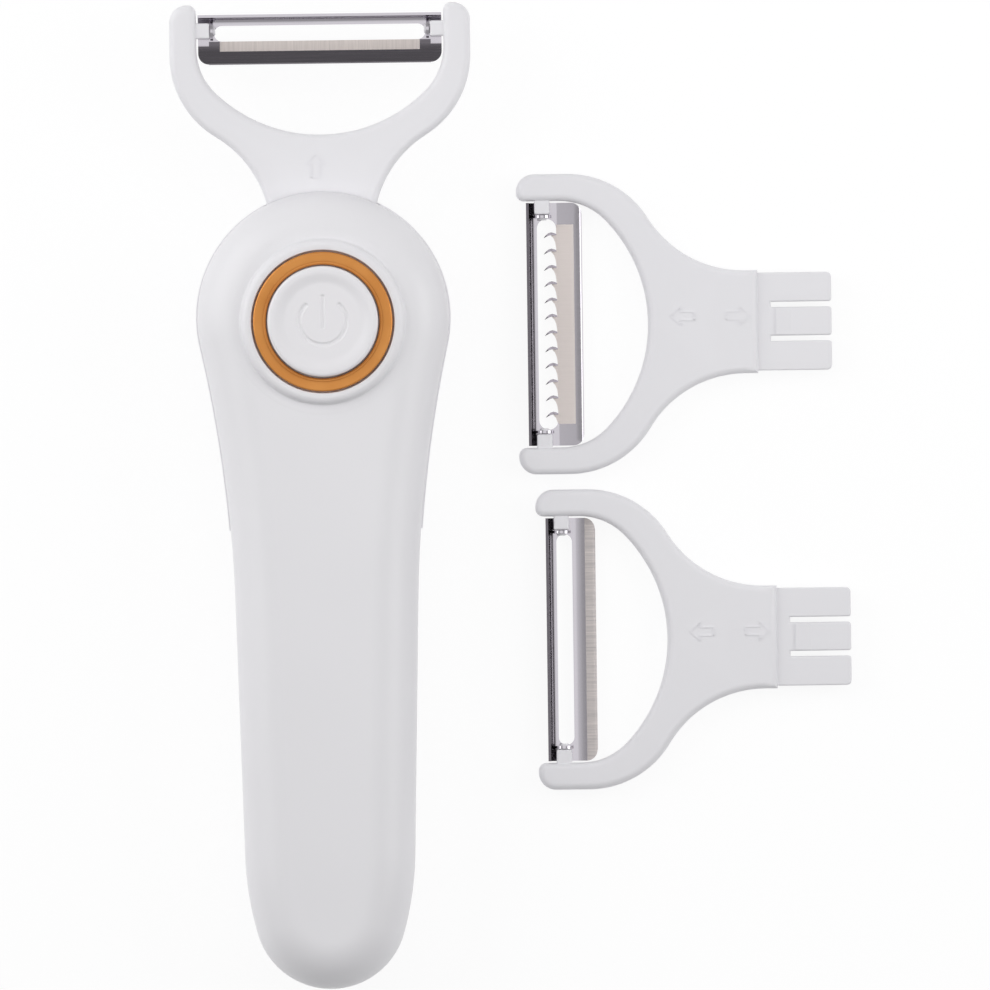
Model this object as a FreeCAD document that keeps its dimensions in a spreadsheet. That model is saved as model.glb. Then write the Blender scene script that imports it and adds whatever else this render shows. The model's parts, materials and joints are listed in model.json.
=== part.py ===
import FreeCAD, Part
import math
import os
import Sketcher

# Battery driven swivel peeler lying on its back, with two spare heads beside it.
# Millimetres. +Z is up, +Y runs towards the blade, +X to the right seen from the button side.
# The origin is on the surface the peeler lies on, straight under the middle of the power button.

SIZES = (
    # outline of the handle, seen from the button side
    ("bulge_radius", 27.65, "round end of the handle that carries the button"),
    ("bulge_y", 1.0, "centre of the round end"),
    ("waist_radius", 290.0, "hollow flank between the round end and the grip"),
    ("grip_half_upper", 20.1, "half width at the upper end of the straight grip"),
    ("grip_half_lower", 19.0, "half width at the lower end of the straight grip"),
    ("grip_upper_y", -61.0, "upper station of the grip"),
    ("grip_lower_y", -105.0, "lower station of the grip"),
    ("flank_radius", 70.0, "soft turn from the grip into the tail"),
    ("tail_radius", 16.7, "round tail"),
    ("tail_y", -129.9, "centre of the round tail"),
    # heights and walls of the handle
    ("seam_height", 15.0, "parting plane of the shells"),
    ("front_height", 28.5, "flat front of the handle"),
    ("front_round", 10.0, "edge round of the front"),
    ("back_round", 9.0, "edge round of the back"),
    ("wall", 2.0, "wall of the shells"),
    ("back_lip", 0.35, "how far the back shell stands out past the front shell"),
    ("door_y", -45.6, "seam across the back, where the battery door begins"),
    ("door_gap", 0.2, "gap all round the battery door"),
    # collar, trim ring and button
    ("collar_radius", 18.0, "raised collar round the button"),
    ("collar_top", 30.4, "top of the collar"),
    ("collar_round", 1.3, "outer edge round of the collar"),
    ("trim_outer", 15.45, "outer radius of the trim ring"),
    ("trim_inner", 12.6, "inner radius of the trim ring"),
    ("trim_depth", 1.8, "depth of the seat of the trim ring"),
    ("trim_proud", 0.45, "how far the trim ring stands out of its seat"),
    ("trim_bevel", 0.5, "bevel of the trim ring"),
    ("trim_gap", 0.28, "gap outside the trim ring"),
    ("button_radius", 12.15, "power button"),
    ("button_top", 32.6, "top of the rim of the button"),
    ("button_gap", 0.35, "gap round the button"),
    ("button_skin", 1.6, "wall of the button"),
    ("button_round", 0.7, "edge round of the button"),
    ("button_dish", 9.6, "radius of the dished middle of the button"),
    ("dish_depth", 0.6, "depth of the dish"),
    ("button_flange", 1.2, "how far the flange under the roof reaches out past the button"),
    ("flange_thick", 1.2, "thickness of that flange"),
    ("button_travel", 1.5, "travel of the button"),
    ("stem_radius", 2.2, "stem under the button"),
    # switch and its board
    ("board_half_x", 19.5, "half length of the switch board"),
    ("board_half_y", 9.8, "half width of the switch board"),
    ("board_thick", 1.6, "thickness of the switch board"),
    ("board_z", 20.6, "underside of the switch board"),
    ("board_post_x", 16.6, "posts that carry the board"),
    ("board_post_radius", 2.2, "radius of those posts"),
    ("switch_half", 4.0, "half side of the push switch"),
    ("switch_high", 4.2, "height of the push switch"),
    ("plunger_radius", 1.6, "plunger of the push switch"),
    ("plunger_in", 1.9, "how far the plunger reaches into the switch"),
    ("running_gap", 0.06, "radial clearance of every running fit"),
    # head frame, measured from the bottom of its fork
    ("fork_y", 41.25, "bottom of the fork above the button when fitted"),
    ("head_z", 15.0, "middle plane of the fitted head"),
    ("frame_thick", 6.0, "thickness of the frame"),
    ("frame_round", 1.3, "edge round of the frame"),
    ("arm_inner", 27.2, "half width inside the arms"),
    ("arm_outer", 33.1, "half width outside the arms"),
    ("arm_tip", 28.8, "end of the arms"),
    ("tip_round", 2.6, "outer corner of an arm tip"),
    ("fork_radius", 33.0, "bottom curve of the fork"),
    ("fork_side_radius", 14.0, "side curve of the fork"),
    ("shoulder_radius", 20.8, "outer curve of the fork"),
    ("shoulder_y", 17.5, "where the outer curve begins"),
    ("neck_half", 11.35, "half width of the neck"),
    ("flare_y", -21.3, "where the neck begins to flare"),
    ("neck_end", -24.2, "end of the full neck"),
    ("tang_half", 10.8, "half width of the tang"),
    ("tang_end", -40.5, "end of the tang"),
    ("tang_thick", 3.4, "thickness of the tang"),
    ("slit_x", 3.74, "middle of each slit of the tang"),
    ("slit_wide", 0.85, "width of each slit"),
    ("slit_top", -27.1, "inner end of each slit"),
    ("tongue_ramp", 0.45, "height of the snap ramp on the middle tongue"),
    ("ramp_long", 3.2, "length of the snap ramp"),
    ("pivot_y", 23.1, "swivel axis of the blade"),
    ("lug_long", 3.0, "length of the lug that holds the blade"),
    ("lug_half", 1.7, "half width of the lug"),
    ("lug_top", 2.0, "top of the lug over the swivel axis"),
    ("lug_under", 0.95, "underside of the lug below the swivel axis"),
    ("lug_round", 0.6, "corner round of the lug"),
    ("pin_radius", 1.0, "swivel pin on the lug"),
    # blades, measured from the swivel axis
    ("blade_gap", 0.4, "gap between blade and arm"),
    ("steel", 0.6, "thickness of the blade steel"),
    ("blade_tip_y", 3.5, "tip side of the blade"),
    ("blade_back_y", 7.15, "handle side of the straight blade"),
    ("julienne_back_y", 8.5, "handle side of the toothed blade"),
    ("channel_depth", 1.75, "inside of the channel below the swivel axis"),
    ("wall_top", 1.6, "top of the tip side wall over the swivel axis"),
    ("back_rise", 1.0, "rise of the handle side over the web"),
    ("web_tip", 1.9, "tip side end of the flat web"),
    ("web_back", 3.3, "handle side end of the flat web"),
    ("blade_corner", 2.4, "corner round on the handle side"),
    ("slot_half", 23.25, "half length of the cutting slot"),
    ("slot_tip", 1.15, "tip side edge of the slot"),
    ("slot_back", 2.3, "handle side edge of the straight slot"),
    ("julienne_slot_back", 3.1, "handle side edge of the toothed slot"),
    ("ear_gap", 0.15, "gap between ear and lug"),
    ("ear_half", 2.1, "half width and top radius of the ear"),
    ("edge_bevel", 0.35, "ground bevel of the cutting edge"),
    ("tooth_count", 12.0, "teeth of the toothed blade"),
    ("tooth_pitch", 3.6, "distance between teeth"),
    ("tooth_base", 2.5, "width of a tooth at its root"),
    ("tooth_long", 3.7, "length of a tooth"),
    ("tooth_lift", 24.0, "upward bend of a tooth in degrees"),
    # head socket inside the handle
    ("fit_gap", 0.15, "clearance of the tang and neck in the socket"),
    ("mouth_gap", 0.35, "clearance of the neck in the mouth of the shells"),
    ("socket_wall", 1.5, "wall of the socket"),
    ("socket_front", 21.6, "front end of the socket"),
    ("socket_stop", 1.3, "thickness of the wall behind the tang"),
    # motor and its weight
    ("motor_front", -14.0, "front face of the motor"),
    ("motor_long", 25.0, "length of the motor can"),
    ("motor_half_x", 10.0, "half width over the round sides"),
    ("motor_half_z", 7.7, "half height over the flats"),
    ("motor_z", 12.9, "height of the motor axis"),
    ("motor_cap_long", 2.0, "length of the plastic end cap"),
    ("cap_inset", 0.2, "how much smaller the end cap is than the can"),
    ("terminal_half", 1.0, "half width of a motor terminal"),
    ("terminal_thick", 0.4, "thickness of a motor terminal"),
    ("terminal_long", 3.0, "how far a motor terminal stands out"),
    ("shaft_inside", 9.0, "length of the shaft inside the motor"),
    ("weight_gap", 0.6, "gap between the nose of the motor and the weight"),
    ("nose_radius", 3.0, "bearing nose of the motor"),
    ("nose_long", 1.6, "length of the bearing nose"),
    ("shaft_radius", 1.0, "motor shaft"),
    ("shaft_out", 8.6, "shaft in front of the motor"),
    ("weight_radius", 6.2, "eccentric weight"),
    ("weight_long", 5.2, "length of the weight"),
    ("weight_hub", 2.6, "hub of the weight"),
    ("clamp_thick", 1.4, "sheet of the motor clamp"),
    ("clamp_long", 12.0, "length of the clamp along the motor"),
    ("clamp_foot", 5.6, "reach of each foot of the clamp"),
    ("part_gap", 0.2, "gap between neighbouring inner pieces"),
    # battery tray, cells and contacts
    ("cell_radius", 7.1, "battery cell"),
    ("cell_long", 50.5, "length of a cell with its nub"),
    ("nub_long", 1.0, "length of the nub"),
    ("nub_radius", 2.7, "radius of the nub"),
    ("cell_x", 7.4, "sideways place of each cell"),
    ("cell_z", 9.75, "height of the cell axes"),
    ("cell_gap", 0.3, "gap between cell and tray"),
    ("tray_wall", 1.1, "wall of the tray"),
    ("tray_front", -49.0, "front end of the tray"),
    ("tray_floor", 6.8, "lower edge of the side walls of the tray"),
    ("spring_long", 4.9, "length of a contact spring at work"),
    ("spring_wide", 4.2, "radius of a spring at its foot"),
    ("spring_narrow", 2.6, "radius of a spring at its tip"),
    ("contact_thick", 0.4, "sheet of the contacts"),
    ("contact_half", 5.2, "half side of a contact plate"),
    ("rail_out", 0.8, "rail on each side of the tray"),
    ("rail_thick", 1.2, "height of the rail"),
    ("rail_z", 10.9, "underside of the rail"),
    ("rail_clear", 0.25, "clearance of the door ribs on the rails"),
    ("tab_long", 5.5, "fixing tab at each end of the tray"),
    ("tab_half", 5.0, "half width of a fixing tab"),
    # screws and their bosses
    ("screw_shank", 1.25, "screw shank"),
    ("screw_head", 2.5, "screw head"),
    ("screw_head_high", 1.8, "height of a screw head"),
    ("screw_gap", 0.06, "radial clearance of a screw in its hole"),
    ("boss_radius", 3.7, "screw boss"),
    ("upper_boss_x", 17.2, "upper screws, sideways"),
    ("upper_boss_y", 13.6, "upper screws, along the handle"),
    ("lower_boss_x", 14.6, "lower screws, sideways"),
    ("lower_boss_y", -40.6, "lower screws, along the handle"),
    ("head_depth", 6.0, "depth of the screw heads in the back shell"),
    ("screw_bite", 7.0, "how far a screw reaches into the front shell"),
    ("board_bite", 3.2, "how deep a board screw goes into its post"),
    ("clamp_bite", 4.0, "how deep a clamp screw goes into its post"),
    # spare heads on the table
    ("spare_x", 71.5, "bottom of the fork of the toothed spare head"),
    ("plain_shift", 3.4, "how far the plain spare head lies beyond the toothed one"),
    ("toothed_spare_y", -1.0, "middle line of the toothed spare head"),
    ("plain_spare_y", -70.6, "middle line of the plain spare head"),
)

TOLERANCE = 1e-4


class Size:
    """A number together with the sheet formula that gives it."""

    def __init__(self, number, formula):
        self.number = float(number)
        self.formula = formula

    def __float__(self):
        return self.number

    def __add__(self, other):
        other = as_size(other)
        return Size(self.number + other.number, "(%s + %s)" % (self.formula, other.formula))

    def __sub__(self, other):
        other = as_size(other)
        return Size(self.number - other.number, "(%s - %s)" % (self.formula, other.formula))

    def __mul__(self, other):
        other = as_size(other)
        return Size(self.number * other.number, "(%s * %s)" % (self.formula, other.formula))

    def __truediv__(self, other):
        other = as_size(other)
        return Size(self.number / other.number, "(%s / %s)" % (self.formula, other.formula))

    def __radd__(self, other):
        return as_size(other) + self

    def __rsub__(self, other):
        return as_size(other) - self

    def __rmul__(self, other):
        return as_size(other) * self

    def __rtruediv__(self, other):
        return as_size(other) / self

    def __neg__(self):
        return Size(-self.number, "(-1 * %s)" % self.formula)


class Arc:
    """The segment between two corners of an outline is an arc about this centre."""

    def __init__(self, centre, clockwise):
        self.centre = centre
        self.clockwise = clockwise


class Sizes:
    """The sheet of driving sizes, each one read by its name."""

    def __init__(self, doc):
        sheet = doc.addObject("Spreadsheet::Sheet", "sizes")
        for row, (alias, number, meaning) in enumerate(SIZES, start=1):
            sheet.set("A%d" % row, meaning)
            sheet.set("B%d" % row, str(number))
            sheet.setAlias("B%d" % row, alias)
        doc.recompute()
        for alias, number, meaning in SIZES:
            setattr(self, alias, Size(sheet.get(alias), "sizes." + alias))


def as_size(value):
    if isinstance(value, Size):
        return value
    return Size(value, "(%s)" % repr(float(value)))


def root(size):
    return Size(math.sqrt(size.number), "sqrt(%s)" % size.formula)


def bind(thing, prop, size):
    thing.setExpression(prop, as_size(size).formula)


# sketches

def origin_plane(body, role):
    for feature in body.Origin.OriginFeatures:
        if feature.Role == role:
            return feature
    raise ValueError("no plane " + role)


def new_body(doc, label):
    body = doc.addObject("PartDesign::Body", label)
    body.Label = label
    return body


def new_sketch(body, role="XY_Plane", lift=None):
    """A sketch on one of the body's own planes, moved along its normal by lift."""
    sketch = body.newObject("Sketcher::SketchObject", "outline")
    sketch.AttachmentSupport = [(origin_plane(body, role), "")]
    sketch.MapMode = "FlatFace"
    if lift is not None:
        bind(sketch, "AttachmentOffset.Base.z", lift)
    return sketch


def pin_point(sketch, geometry, place, point, axes="XY"):
    """Dimension a point of the sketch from the sketch's own zero."""
    for axis, value in zip("XY", point):
        if axis in axes:
            value = as_size(value)
            kind = "Distance" + axis
            number = sketch.addConstraint(
                Sketcher.Constraint(kind, -1, 1, geometry, place, value.number))
            sketch.setExpression("Constraints[%d]" % number, value.formula)


def add_circle(sketch, centre, radius):
    centre = tuple(as_size(value) for value in centre)
    radius = as_size(radius)
    middle = FreeCAD.Vector(centre[0].number, centre[1].number, 0)
    circle = Part.Circle(middle, FreeCAD.Vector(0, 0, 1), radius.number)
    geometry = sketch.addGeometry(circle)
    pin_point(sketch, geometry, 3, centre)
    number = sketch.addConstraint(Sketcher.Constraint("Radius", geometry, radius.number))
    sketch.setExpression("Constraints[%d]" % number, radius.formula)


def add_path(sketch, path):
    """A closed outline of corners, with an Arc between two corners where they curve."""
    corners = []
    bends = []
    for step in path:
        if isinstance(step, Arc):
            bends[-1] = step
        else:
            corners.append(tuple(as_size(value) for value in step))
            bends.append(None)
    ends = []
    for index, corner in enumerate(corners):
        following = corners[(index + 1) % len(corners)]
        ends.append(add_segment(sketch, corner, following, bends[index]))
    for index, corner in enumerate(corners):
        geometry, begin, finish, bend = ends[index]
        before, unused, before_end, unused_bend = ends[index - 1]
        sketch.addConstraint(Sketcher.Constraint("Coincident", before, before_end, geometry, begin))
        pin_point(sketch, geometry, begin, corner)
    for index, corner in enumerate(corners):
        geometry, begin, finish, bend = ends[index]
        if bend:
            following = corners[(index + 1) % len(corners)]
            rise = abs(following[1].number - corner[1].number)
            run = abs(following[0].number - corner[0].number)
            pin_point(sketch, geometry, 3, bend.centre, "X" if rise > run else "Y")


def add_segment(sketch, start, end, bend):
    first = FreeCAD.Vector(start[0].number, start[1].number, 0)
    last = FreeCAD.Vector(end[0].number, end[1].number, 0)
    if bend is None:
        return sketch.addGeometry(Part.LineSegment(first, last)), 1, 2, None
    middle = FreeCAD.Vector(float(bend.centre[0]), float(bend.centre[1]), 0)
    if bend.clockwise:
        first, last = last, first
    begin = math.atan2(first.y - middle.y, first.x - middle.x)
    finish = math.atan2(last.y - middle.y, last.x - middle.x)
    while finish <= begin:
        finish += 2 * math.pi
    circle = Part.Circle(middle, FreeCAD.Vector(0, 0, 1), middle.distanceToPoint(first))
    geometry = sketch.addGeometry(Part.ArcOfCircle(circle, begin, finish))
    if bend.clockwise:
        return geometry, 2, 1, bend
    return geometry, 1, 2, bend


def with_mirror(half):
    """Close the right half of an outline, from axis to axis, with its left half."""
    left = []
    for step in reversed(half[1:-1]):
        if isinstance(step, Arc):
            left.append(Arc((-as_size(step.centre[0]), step.centre[1]), step.clockwise))
        else:
            left.append((-as_size(step[0]), step[1]))
    return list(half) + left


def box_path(left, low, right, high):
    return [(left, low), (right, low), (right, high), (left, high)]


def round_box_path(left, low, right, high, radius):
    """A rectangle with round corners, counter clockwise."""
    left, low, right, high = (as_size(value) for value in (left, low, right, high))
    return [
        (left + radius, low), (right - radius, low), Arc((right - radius, low + radius), False),
        (right, low + radius), (right, high - radius), Arc((right - radius, high - radius), False),
        (right - radius, high), (left + radius, high), Arc((left + radius, high - radius), False),
        (left, high - radius), (left, low + radius), Arc((left + radius, low + radius), False),
    ]


# features of a body

def settle(body, feature):
    """Recompute and stop at the feature that fails."""
    body.Document.recompute()
    if "Invalid" in feature.State or "Error" in feature.State or feature.Shape.isNull():
        raise ValueError("%s of %s failed: %s" % (feature.Name, body.Label, feature.getStatusString()))
    return feature


def add_feature(body, kind, sketch):
    feature = body.newObject("PartDesign::" + kind, kind.lower())
    feature.Profile = sketch
    sketch.Visibility = False
    return feature


def pad(body, sketch, length, reverse=False, both=False):
    feature = add_feature(body, "Pad", sketch)
    bind(feature, "Length", length)
    feature.Reversed = reverse
    feature.Midplane = both
    return settle(body, feature)


def cut(body, sketch, depth=None, reverse=False, both=False):
    """A pocket. Without a depth it goes through everything on both sides."""
    before = body.Shape.Volume
    feature = add_feature(body, "Pocket", sketch)
    if depth is None:
        feature.Type = "ThroughAll"
        feature.Midplane = True
    else:
        bind(feature, "Length", depth)
        feature.Midplane = both
    feature.Reversed = reverse
    settle(body, feature)
    if body.Shape.Volume > before - TOLERANCE:
        raise ValueError("a pocket of %s cuts nothing" % body.Label)
    return feature


def soften(body, kind, feature, chosen, size):
    """Round or bevel the edges of the last feature that pass the test."""
    names = []
    for number, edge in enumerate(feature.Shape.Edges, start=1):
        if chosen(edge):
            names.append("Edge%d" % number)
    if not names:
        raise ValueError("no edge to soften on " + body.Label)
    dressing = body.newObject("PartDesign::" + kind, kind.lower())
    dressing.Base = (feature, names)
    bind(dressing, "Size" if kind == "Chamfer" else "Radius", size)
    return settle(body, dressing)


def turn(body, sketch):
    """A full turn about the sketch's upright axis."""
    feature = add_feature(body, "Revolution", sketch)
    feature.ReferenceAxis = (sketch, ["V_Axis"])
    feature.Angle = 360
    return settle(body, feature)


def hollow(body, feature, height, wall):
    """Shell the last feature inwards, open at the flat face at this height."""
    for number, face in enumerate(feature.Shape.Faces, start=1):
        box = face.BoundBox
        if box.ZLength < 1e-3 and abs(box.ZMin - float(height)) < 1e-3:
            opening = "Face%d" % number
    shelled = body.newObject("PartDesign::Thickness", "thickness")
    shelled.Base = (feature, [opening])
    bind(shelled, "Value", wall)
    shelled.Reversed = True
    return settle(body, shelled)


def flat_at(height):
    """Edges that lie in the plane at this height."""
    height = float(height)

    def test(edge):
        box = edge.BoundBox
        return abs(box.ZMin - height) < 1e-3 and abs(box.ZMax - height) < 1e-3
    return test


def upright_at(x, y):
    """Upright edges at this place, on both sides of the middle."""
    x, y = float(x), float(y)

    def test(edge):
        box = edge.BoundBox
        narrow = box.XLength < 1e-3 and box.YLength < 1e-3
        return narrow and abs(abs(box.XMin) - abs(x)) < 1e-2 and abs(box.YMin - y) < 1e-2
    return test


# plain solids

def place(thing, x, y, z, axis=None, angle=0.0):
    """Bind the position of a thing and turn it about an axis."""
    if axis:
        thing.Placement = FreeCAD.Placement(
            FreeCAD.Vector(0, 0, 0), FreeCAD.Rotation(FreeCAD.Vector(*axis), angle))
    for letter, value in zip("xyz", (x, y, z)):
        bind(thing, "Placement.Base." + letter, value)
    return thing


def box(doc, name, corner, lengths):
    solid = doc.addObject("Part::Box", name)
    for prop, value in zip(("Length", "Width", "Height"), lengths):
        bind(solid, prop, value)
    return place(solid, *corner)


def cylinder(doc, name, radius, height, foot, axis=None, angle=0.0):
    solid = doc.addObject("Part::Cylinder", name)
    bind(solid, "Radius", radius)
    bind(solid, "Height", height)
    return place(solid, foot[0], foot[1], foot[2], axis, angle)


def fuse(doc, name, pieces):
    joined = doc.addObject("Part::MultiFuse", name)
    joined.Shapes = pieces
    joined.Refine = True
    joined.Label = name
    return joined


def group(doc, name, pieces):
    several = doc.addObject("Part::Compound", name)
    several.Links = pieces
    several.Label = name
    return several


# outline of the handle

def handle_path(s, inset):
    """Handle outline moved inwards by inset: round end, hollow waist, straight grip, round tail."""
    bulge = s.bulge_radius - inset
    tail = s.tail_radius - inset
    waist = s.waist_radius + inset
    flank = s.flank_radius - inset
    lean = (s.grip_half_upper - s.grip_half_lower) / (s.grip_upper_y - s.grip_lower_y)
    size = root(1 + lean * lean)
    nx, ny = 1 / size, -lean / size
    reach = s.grip_half_upper * nx + s.grip_upper_y * ny - inset
    # centre of the hollow waist: beside the grip line and outside the round end
    across = reach + waist
    step = across - s.bulge_y * ny
    along = s.bulge_y * nx - root((bulge + waist) * (bulge + waist) - step * step)
    waist_x = across * nx - along * ny
    waist_y = across * ny + along * nx
    # centre of the flank turn: inside the grip line and round the tail
    inner = reach - flank
    step = inner - s.tail_y * ny
    along_low = s.tail_y * nx + root((flank - tail) * (flank - tail) - step * step)
    flank_x = inner * nx - along_low * ny
    flank_y = inner * ny + along_low * nx
    share = bulge / (bulge + waist)
    top_touch = (waist_x * share, s.bulge_y + (waist_y - s.bulge_y) * share)
    grip_top = (waist_x - waist * nx, waist_y - waist * ny)
    grip_low = (flank_x + flank * nx, flank_y + flank * ny)
    share = tail / (flank - tail)
    tail_touch = (0 - flank_x * share, s.tail_y + (s.tail_y - flank_y) * share)
    return with_mirror([
        (0, s.bulge_y + bulge), Arc((0, s.bulge_y), True),
        top_touch, Arc((waist_x, waist_y), False),
        grip_top, grip_low, Arc((flank_x, flank_y), True),
        tail_touch, Arc((0, s.tail_y), True),
        (0, s.tail_y - tail),
    ])


def tail_end(s):
    return s.tail_y - s.tail_radius


def flare_radius(s):
    """Radius of the flare that joins the neck to the outer curve of the fork, tangent to both."""
    rise = s.shoulder_y - s.flare_y
    gap = s.neck_half - s.arm_outer + s.shoulder_radius
    return (rise * rise + gap * gap - s.shoulder_radius * s.shoulder_radius) / (
        2 * (s.shoulder_radius - gap))


def neck_mouth_path(s, gap, low, high):
    """Opening that follows the flare of the neck of the fitted head."""
    flare_y = s.fork_y + s.flare_y
    wide = s.neck_half + gap

    def widen(y):
        return wide + (y - flare_y) * (y - flare_y) / (2 * flare_radius(s))

    middle = (high + flare_y) / 2
    return with_mirror([
        (0, high), (widen(high) + gap / 2, high), (widen(middle) + gap / 3, middle),
        (wide, flare_y), (wide, low), (0, low),
    ])


def shell_places(s):
    """Screw places of the back shell."""
    places = []
    for side in (-1, 1):
        places.append((s.upper_boss_x * side, s.upper_boss_y))
        places.append((s.lower_boss_x * side, s.lower_boss_y))
    return places


def tray_places(s):
    """Screw places of the battery tray, one on each fixing tab."""
    rear = tray_rear(s)
    return [(as_size(0), s.tray_front + s.tab_long / 2), (as_size(0), rear - s.tab_long / 2)]


def tray_rear(s):
    return s.tray_front - s.tray_wall * 2 - s.contact_thick * 2 - s.cell_long - s.spring_long


def tray_roof(s):
    """Underside of the roof of the battery tray."""
    return s.cell_z + s.cell_radius + s.cell_gap


# handle

def front_shell(doc, s):
    """Front half: soft lid with collar, ring seat, button hole, posts and screw bosses."""
    body = new_body(doc, "front_shell")
    sketch = new_sketch(body, lift=s.seam_height)
    add_path(sketch, handle_path(s, as_size(0)))
    block = pad(body, sketch, s.front_height - s.seam_height)
    block = soften(body, "Fillet", block, flat_at(s.front_height), s.front_round)
    hollow(body, block, s.seam_height, s.wall)
    roof = s.front_height - s.wall
    sketch = new_sketch(body, lift=s.collar_top)
    add_circle(sketch, (0, 0), s.collar_radius)
    collar = pad(body, sketch, s.collar_top - roof, reverse=True)
    soften(body, "Fillet", collar, collar_rim(s), s.collar_round)
    sketch = new_sketch(body, lift=s.collar_top)
    add_circle(sketch, (0, 0), s.trim_outer + s.trim_gap)
    cut(body, sketch, s.trim_depth)
    sketch = new_sketch(body)
    add_circle(sketch, (0, 0), s.button_radius + s.button_gap)
    cut(body, sketch)
    # mouth for the neck of the head
    half = s.frame_thick / 2 + s.mouth_gap
    sketch = new_sketch(body, lift=s.seam_height)
    add_path(sketch, neck_mouth_path(s, s.mouth_gap, s.fork_y + s.flare_y - 1, s.bulge_y + s.bulge_radius + 2))
    cut(body, sketch, half * 2, both=True)
    # bosses hang from the roof
    for x, y in shell_places(s):
        add_boss(body, s, x, y, s.seam_height, s.seam_height + s.screw_bite + 1)
    for x, y in tray_places(s):
        add_boss(body, s, x, y, tray_roof(s) + s.tray_wall, roof)
    for side in (-1, 1):
        sketch = new_sketch(body, lift=s.board_z + s.board_thick)
        add_circle(sketch, (s.board_post_x * side, 0), s.board_post_radius)
        pad(body, sketch, roof - s.board_z - s.board_thick)
        sketch = new_sketch(body, lift=s.board_z + s.board_thick)
        add_circle(sketch, (s.board_post_x * side, 0), s.screw_shank + s.screw_gap)
        cut(body, sketch, roof - s.board_z - s.board_thick - 0.6, reverse=True)
    return body


def collar_rim(s):
    """The outer rim of the raised collar."""
    def test(edge):
        box = edge.BoundBox
        level = abs(box.ZMin - float(s.collar_top)) < 1e-3 and abs(box.ZMax - box.ZMin) < 1e-3
        return level and abs(box.XLength - 2 * float(s.collar_radius)) < 0.1
    return test


def add_boss(body, s, x, y, low, high):
    """A screw boss that runs up into the shell, with its blind hole."""
    sketch = new_sketch(body, lift=low)
    add_circle(sketch, (x, y), s.boss_radius - 0.6)
    feature = pad(body, sketch, high - low)
    if abs(float(y)) < 100 and float(low) < 16:
        feature.Type = "UpToFirst"
        body.Document.recompute()
    sketch = new_sketch(body, lift=low)
    add_circle(sketch, (x, y), s.screw_shank + s.screw_gap)
    cut(body, sketch, s.screw_bite, reverse=True)


def back_shape(body, s, inset, grow, height):
    """Hollow back half up to this height, open at the top."""
    sketch = new_sketch(body)
    add_path(sketch, handle_path(s, inset - grow))
    block = pad(body, sketch, height)
    block = soften(body, "Fillet", block, flat_at(0), s.back_round)
    hollow(body, block, height, s.wall)


def back_shell(doc, s):
    """Back half of the round end and waist, with screw tubes and the saddles of the socket."""
    body = new_body(doc, "back_shell")
    back_shape(body, s, as_size(0), s.back_lip, s.seam_height)
    sketch = new_sketch(body)
    wide = s.bulge_radius + 5
    add_path(sketch, box_path(-wide, tail_end(s) - 5, wide, s.door_y))
    cut(body, sketch)
    sketch = new_sketch(body, lift=s.seam_height)
    add_path(sketch, neck_mouth_path(s, s.mouth_gap, s.fork_y + s.flare_y - 1, s.bulge_y + s.bulge_radius + 2))
    cut(body, sketch, s.frame_thick + s.mouth_gap * 2, both=True)
    for x, y in shell_places(s):
        sketch = new_sketch(body, lift=s.seam_height)
        add_circle(sketch, (x, y), s.boss_radius)
        pad(body, sketch, s.seam_height - s.wall, reverse=True)
        sketch = new_sketch(body)
        add_circle(sketch, (x, y), s.screw_shank + s.screw_gap)
        cut(body, sketch)
        sketch = new_sketch(body)
        add_circle(sketch, (x, y), s.screw_head + s.screw_gap)
        cut(body, sketch, s.head_depth, reverse=True)
    # saddles under the socket and under the motor
    low = s.wall - 0.4
    socket_under = s.head_z - s.frame_thick / 2 - s.fit_gap - s.socket_wall
    for y in (s.socket_front - 5, s.fork_y + s.tang_end + 3):
        add_rib(body, s, low, socket_under, y, s.neck_half)
    motor_under = s.motor_z - s.motor_half_z
    for share in (0.2, 0.8):
        add_rib(body, s, low, motor_under, s.motor_front - s.motor_long * share, s.motor_half_x * 0.7)
    foot = s.motor_z - s.motor_half_z * 0.5
    for side in (-1, 1):
        sketch = new_sketch(body, lift=low)
        add_circle(sketch, (clamp_screw_x(s) * side, clamp_y(s)), s.screw_shank + 1.3)
        pad(body, sketch, foot - low)
        sketch = new_sketch(body, lift=foot)
        add_circle(sketch, (clamp_screw_x(s) * side, clamp_y(s)), s.screw_shank + s.screw_gap)
        cut(body, sketch, foot - low - 0.6)
    return body


def add_rib(body, s, low, high, y, half):
    sketch = new_sketch(body, lift=low)
    add_path(sketch, box_path(-half, y - 0.8, half, y + 0.8))
    pad(body, sketch, high - low)


def clamp_y(s):
    return s.motor_front - s.motor_long / 2


def clamp_screw_x(s):
    return s.motor_half_x + s.clamp_thick + s.clamp_foot / 2


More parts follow.
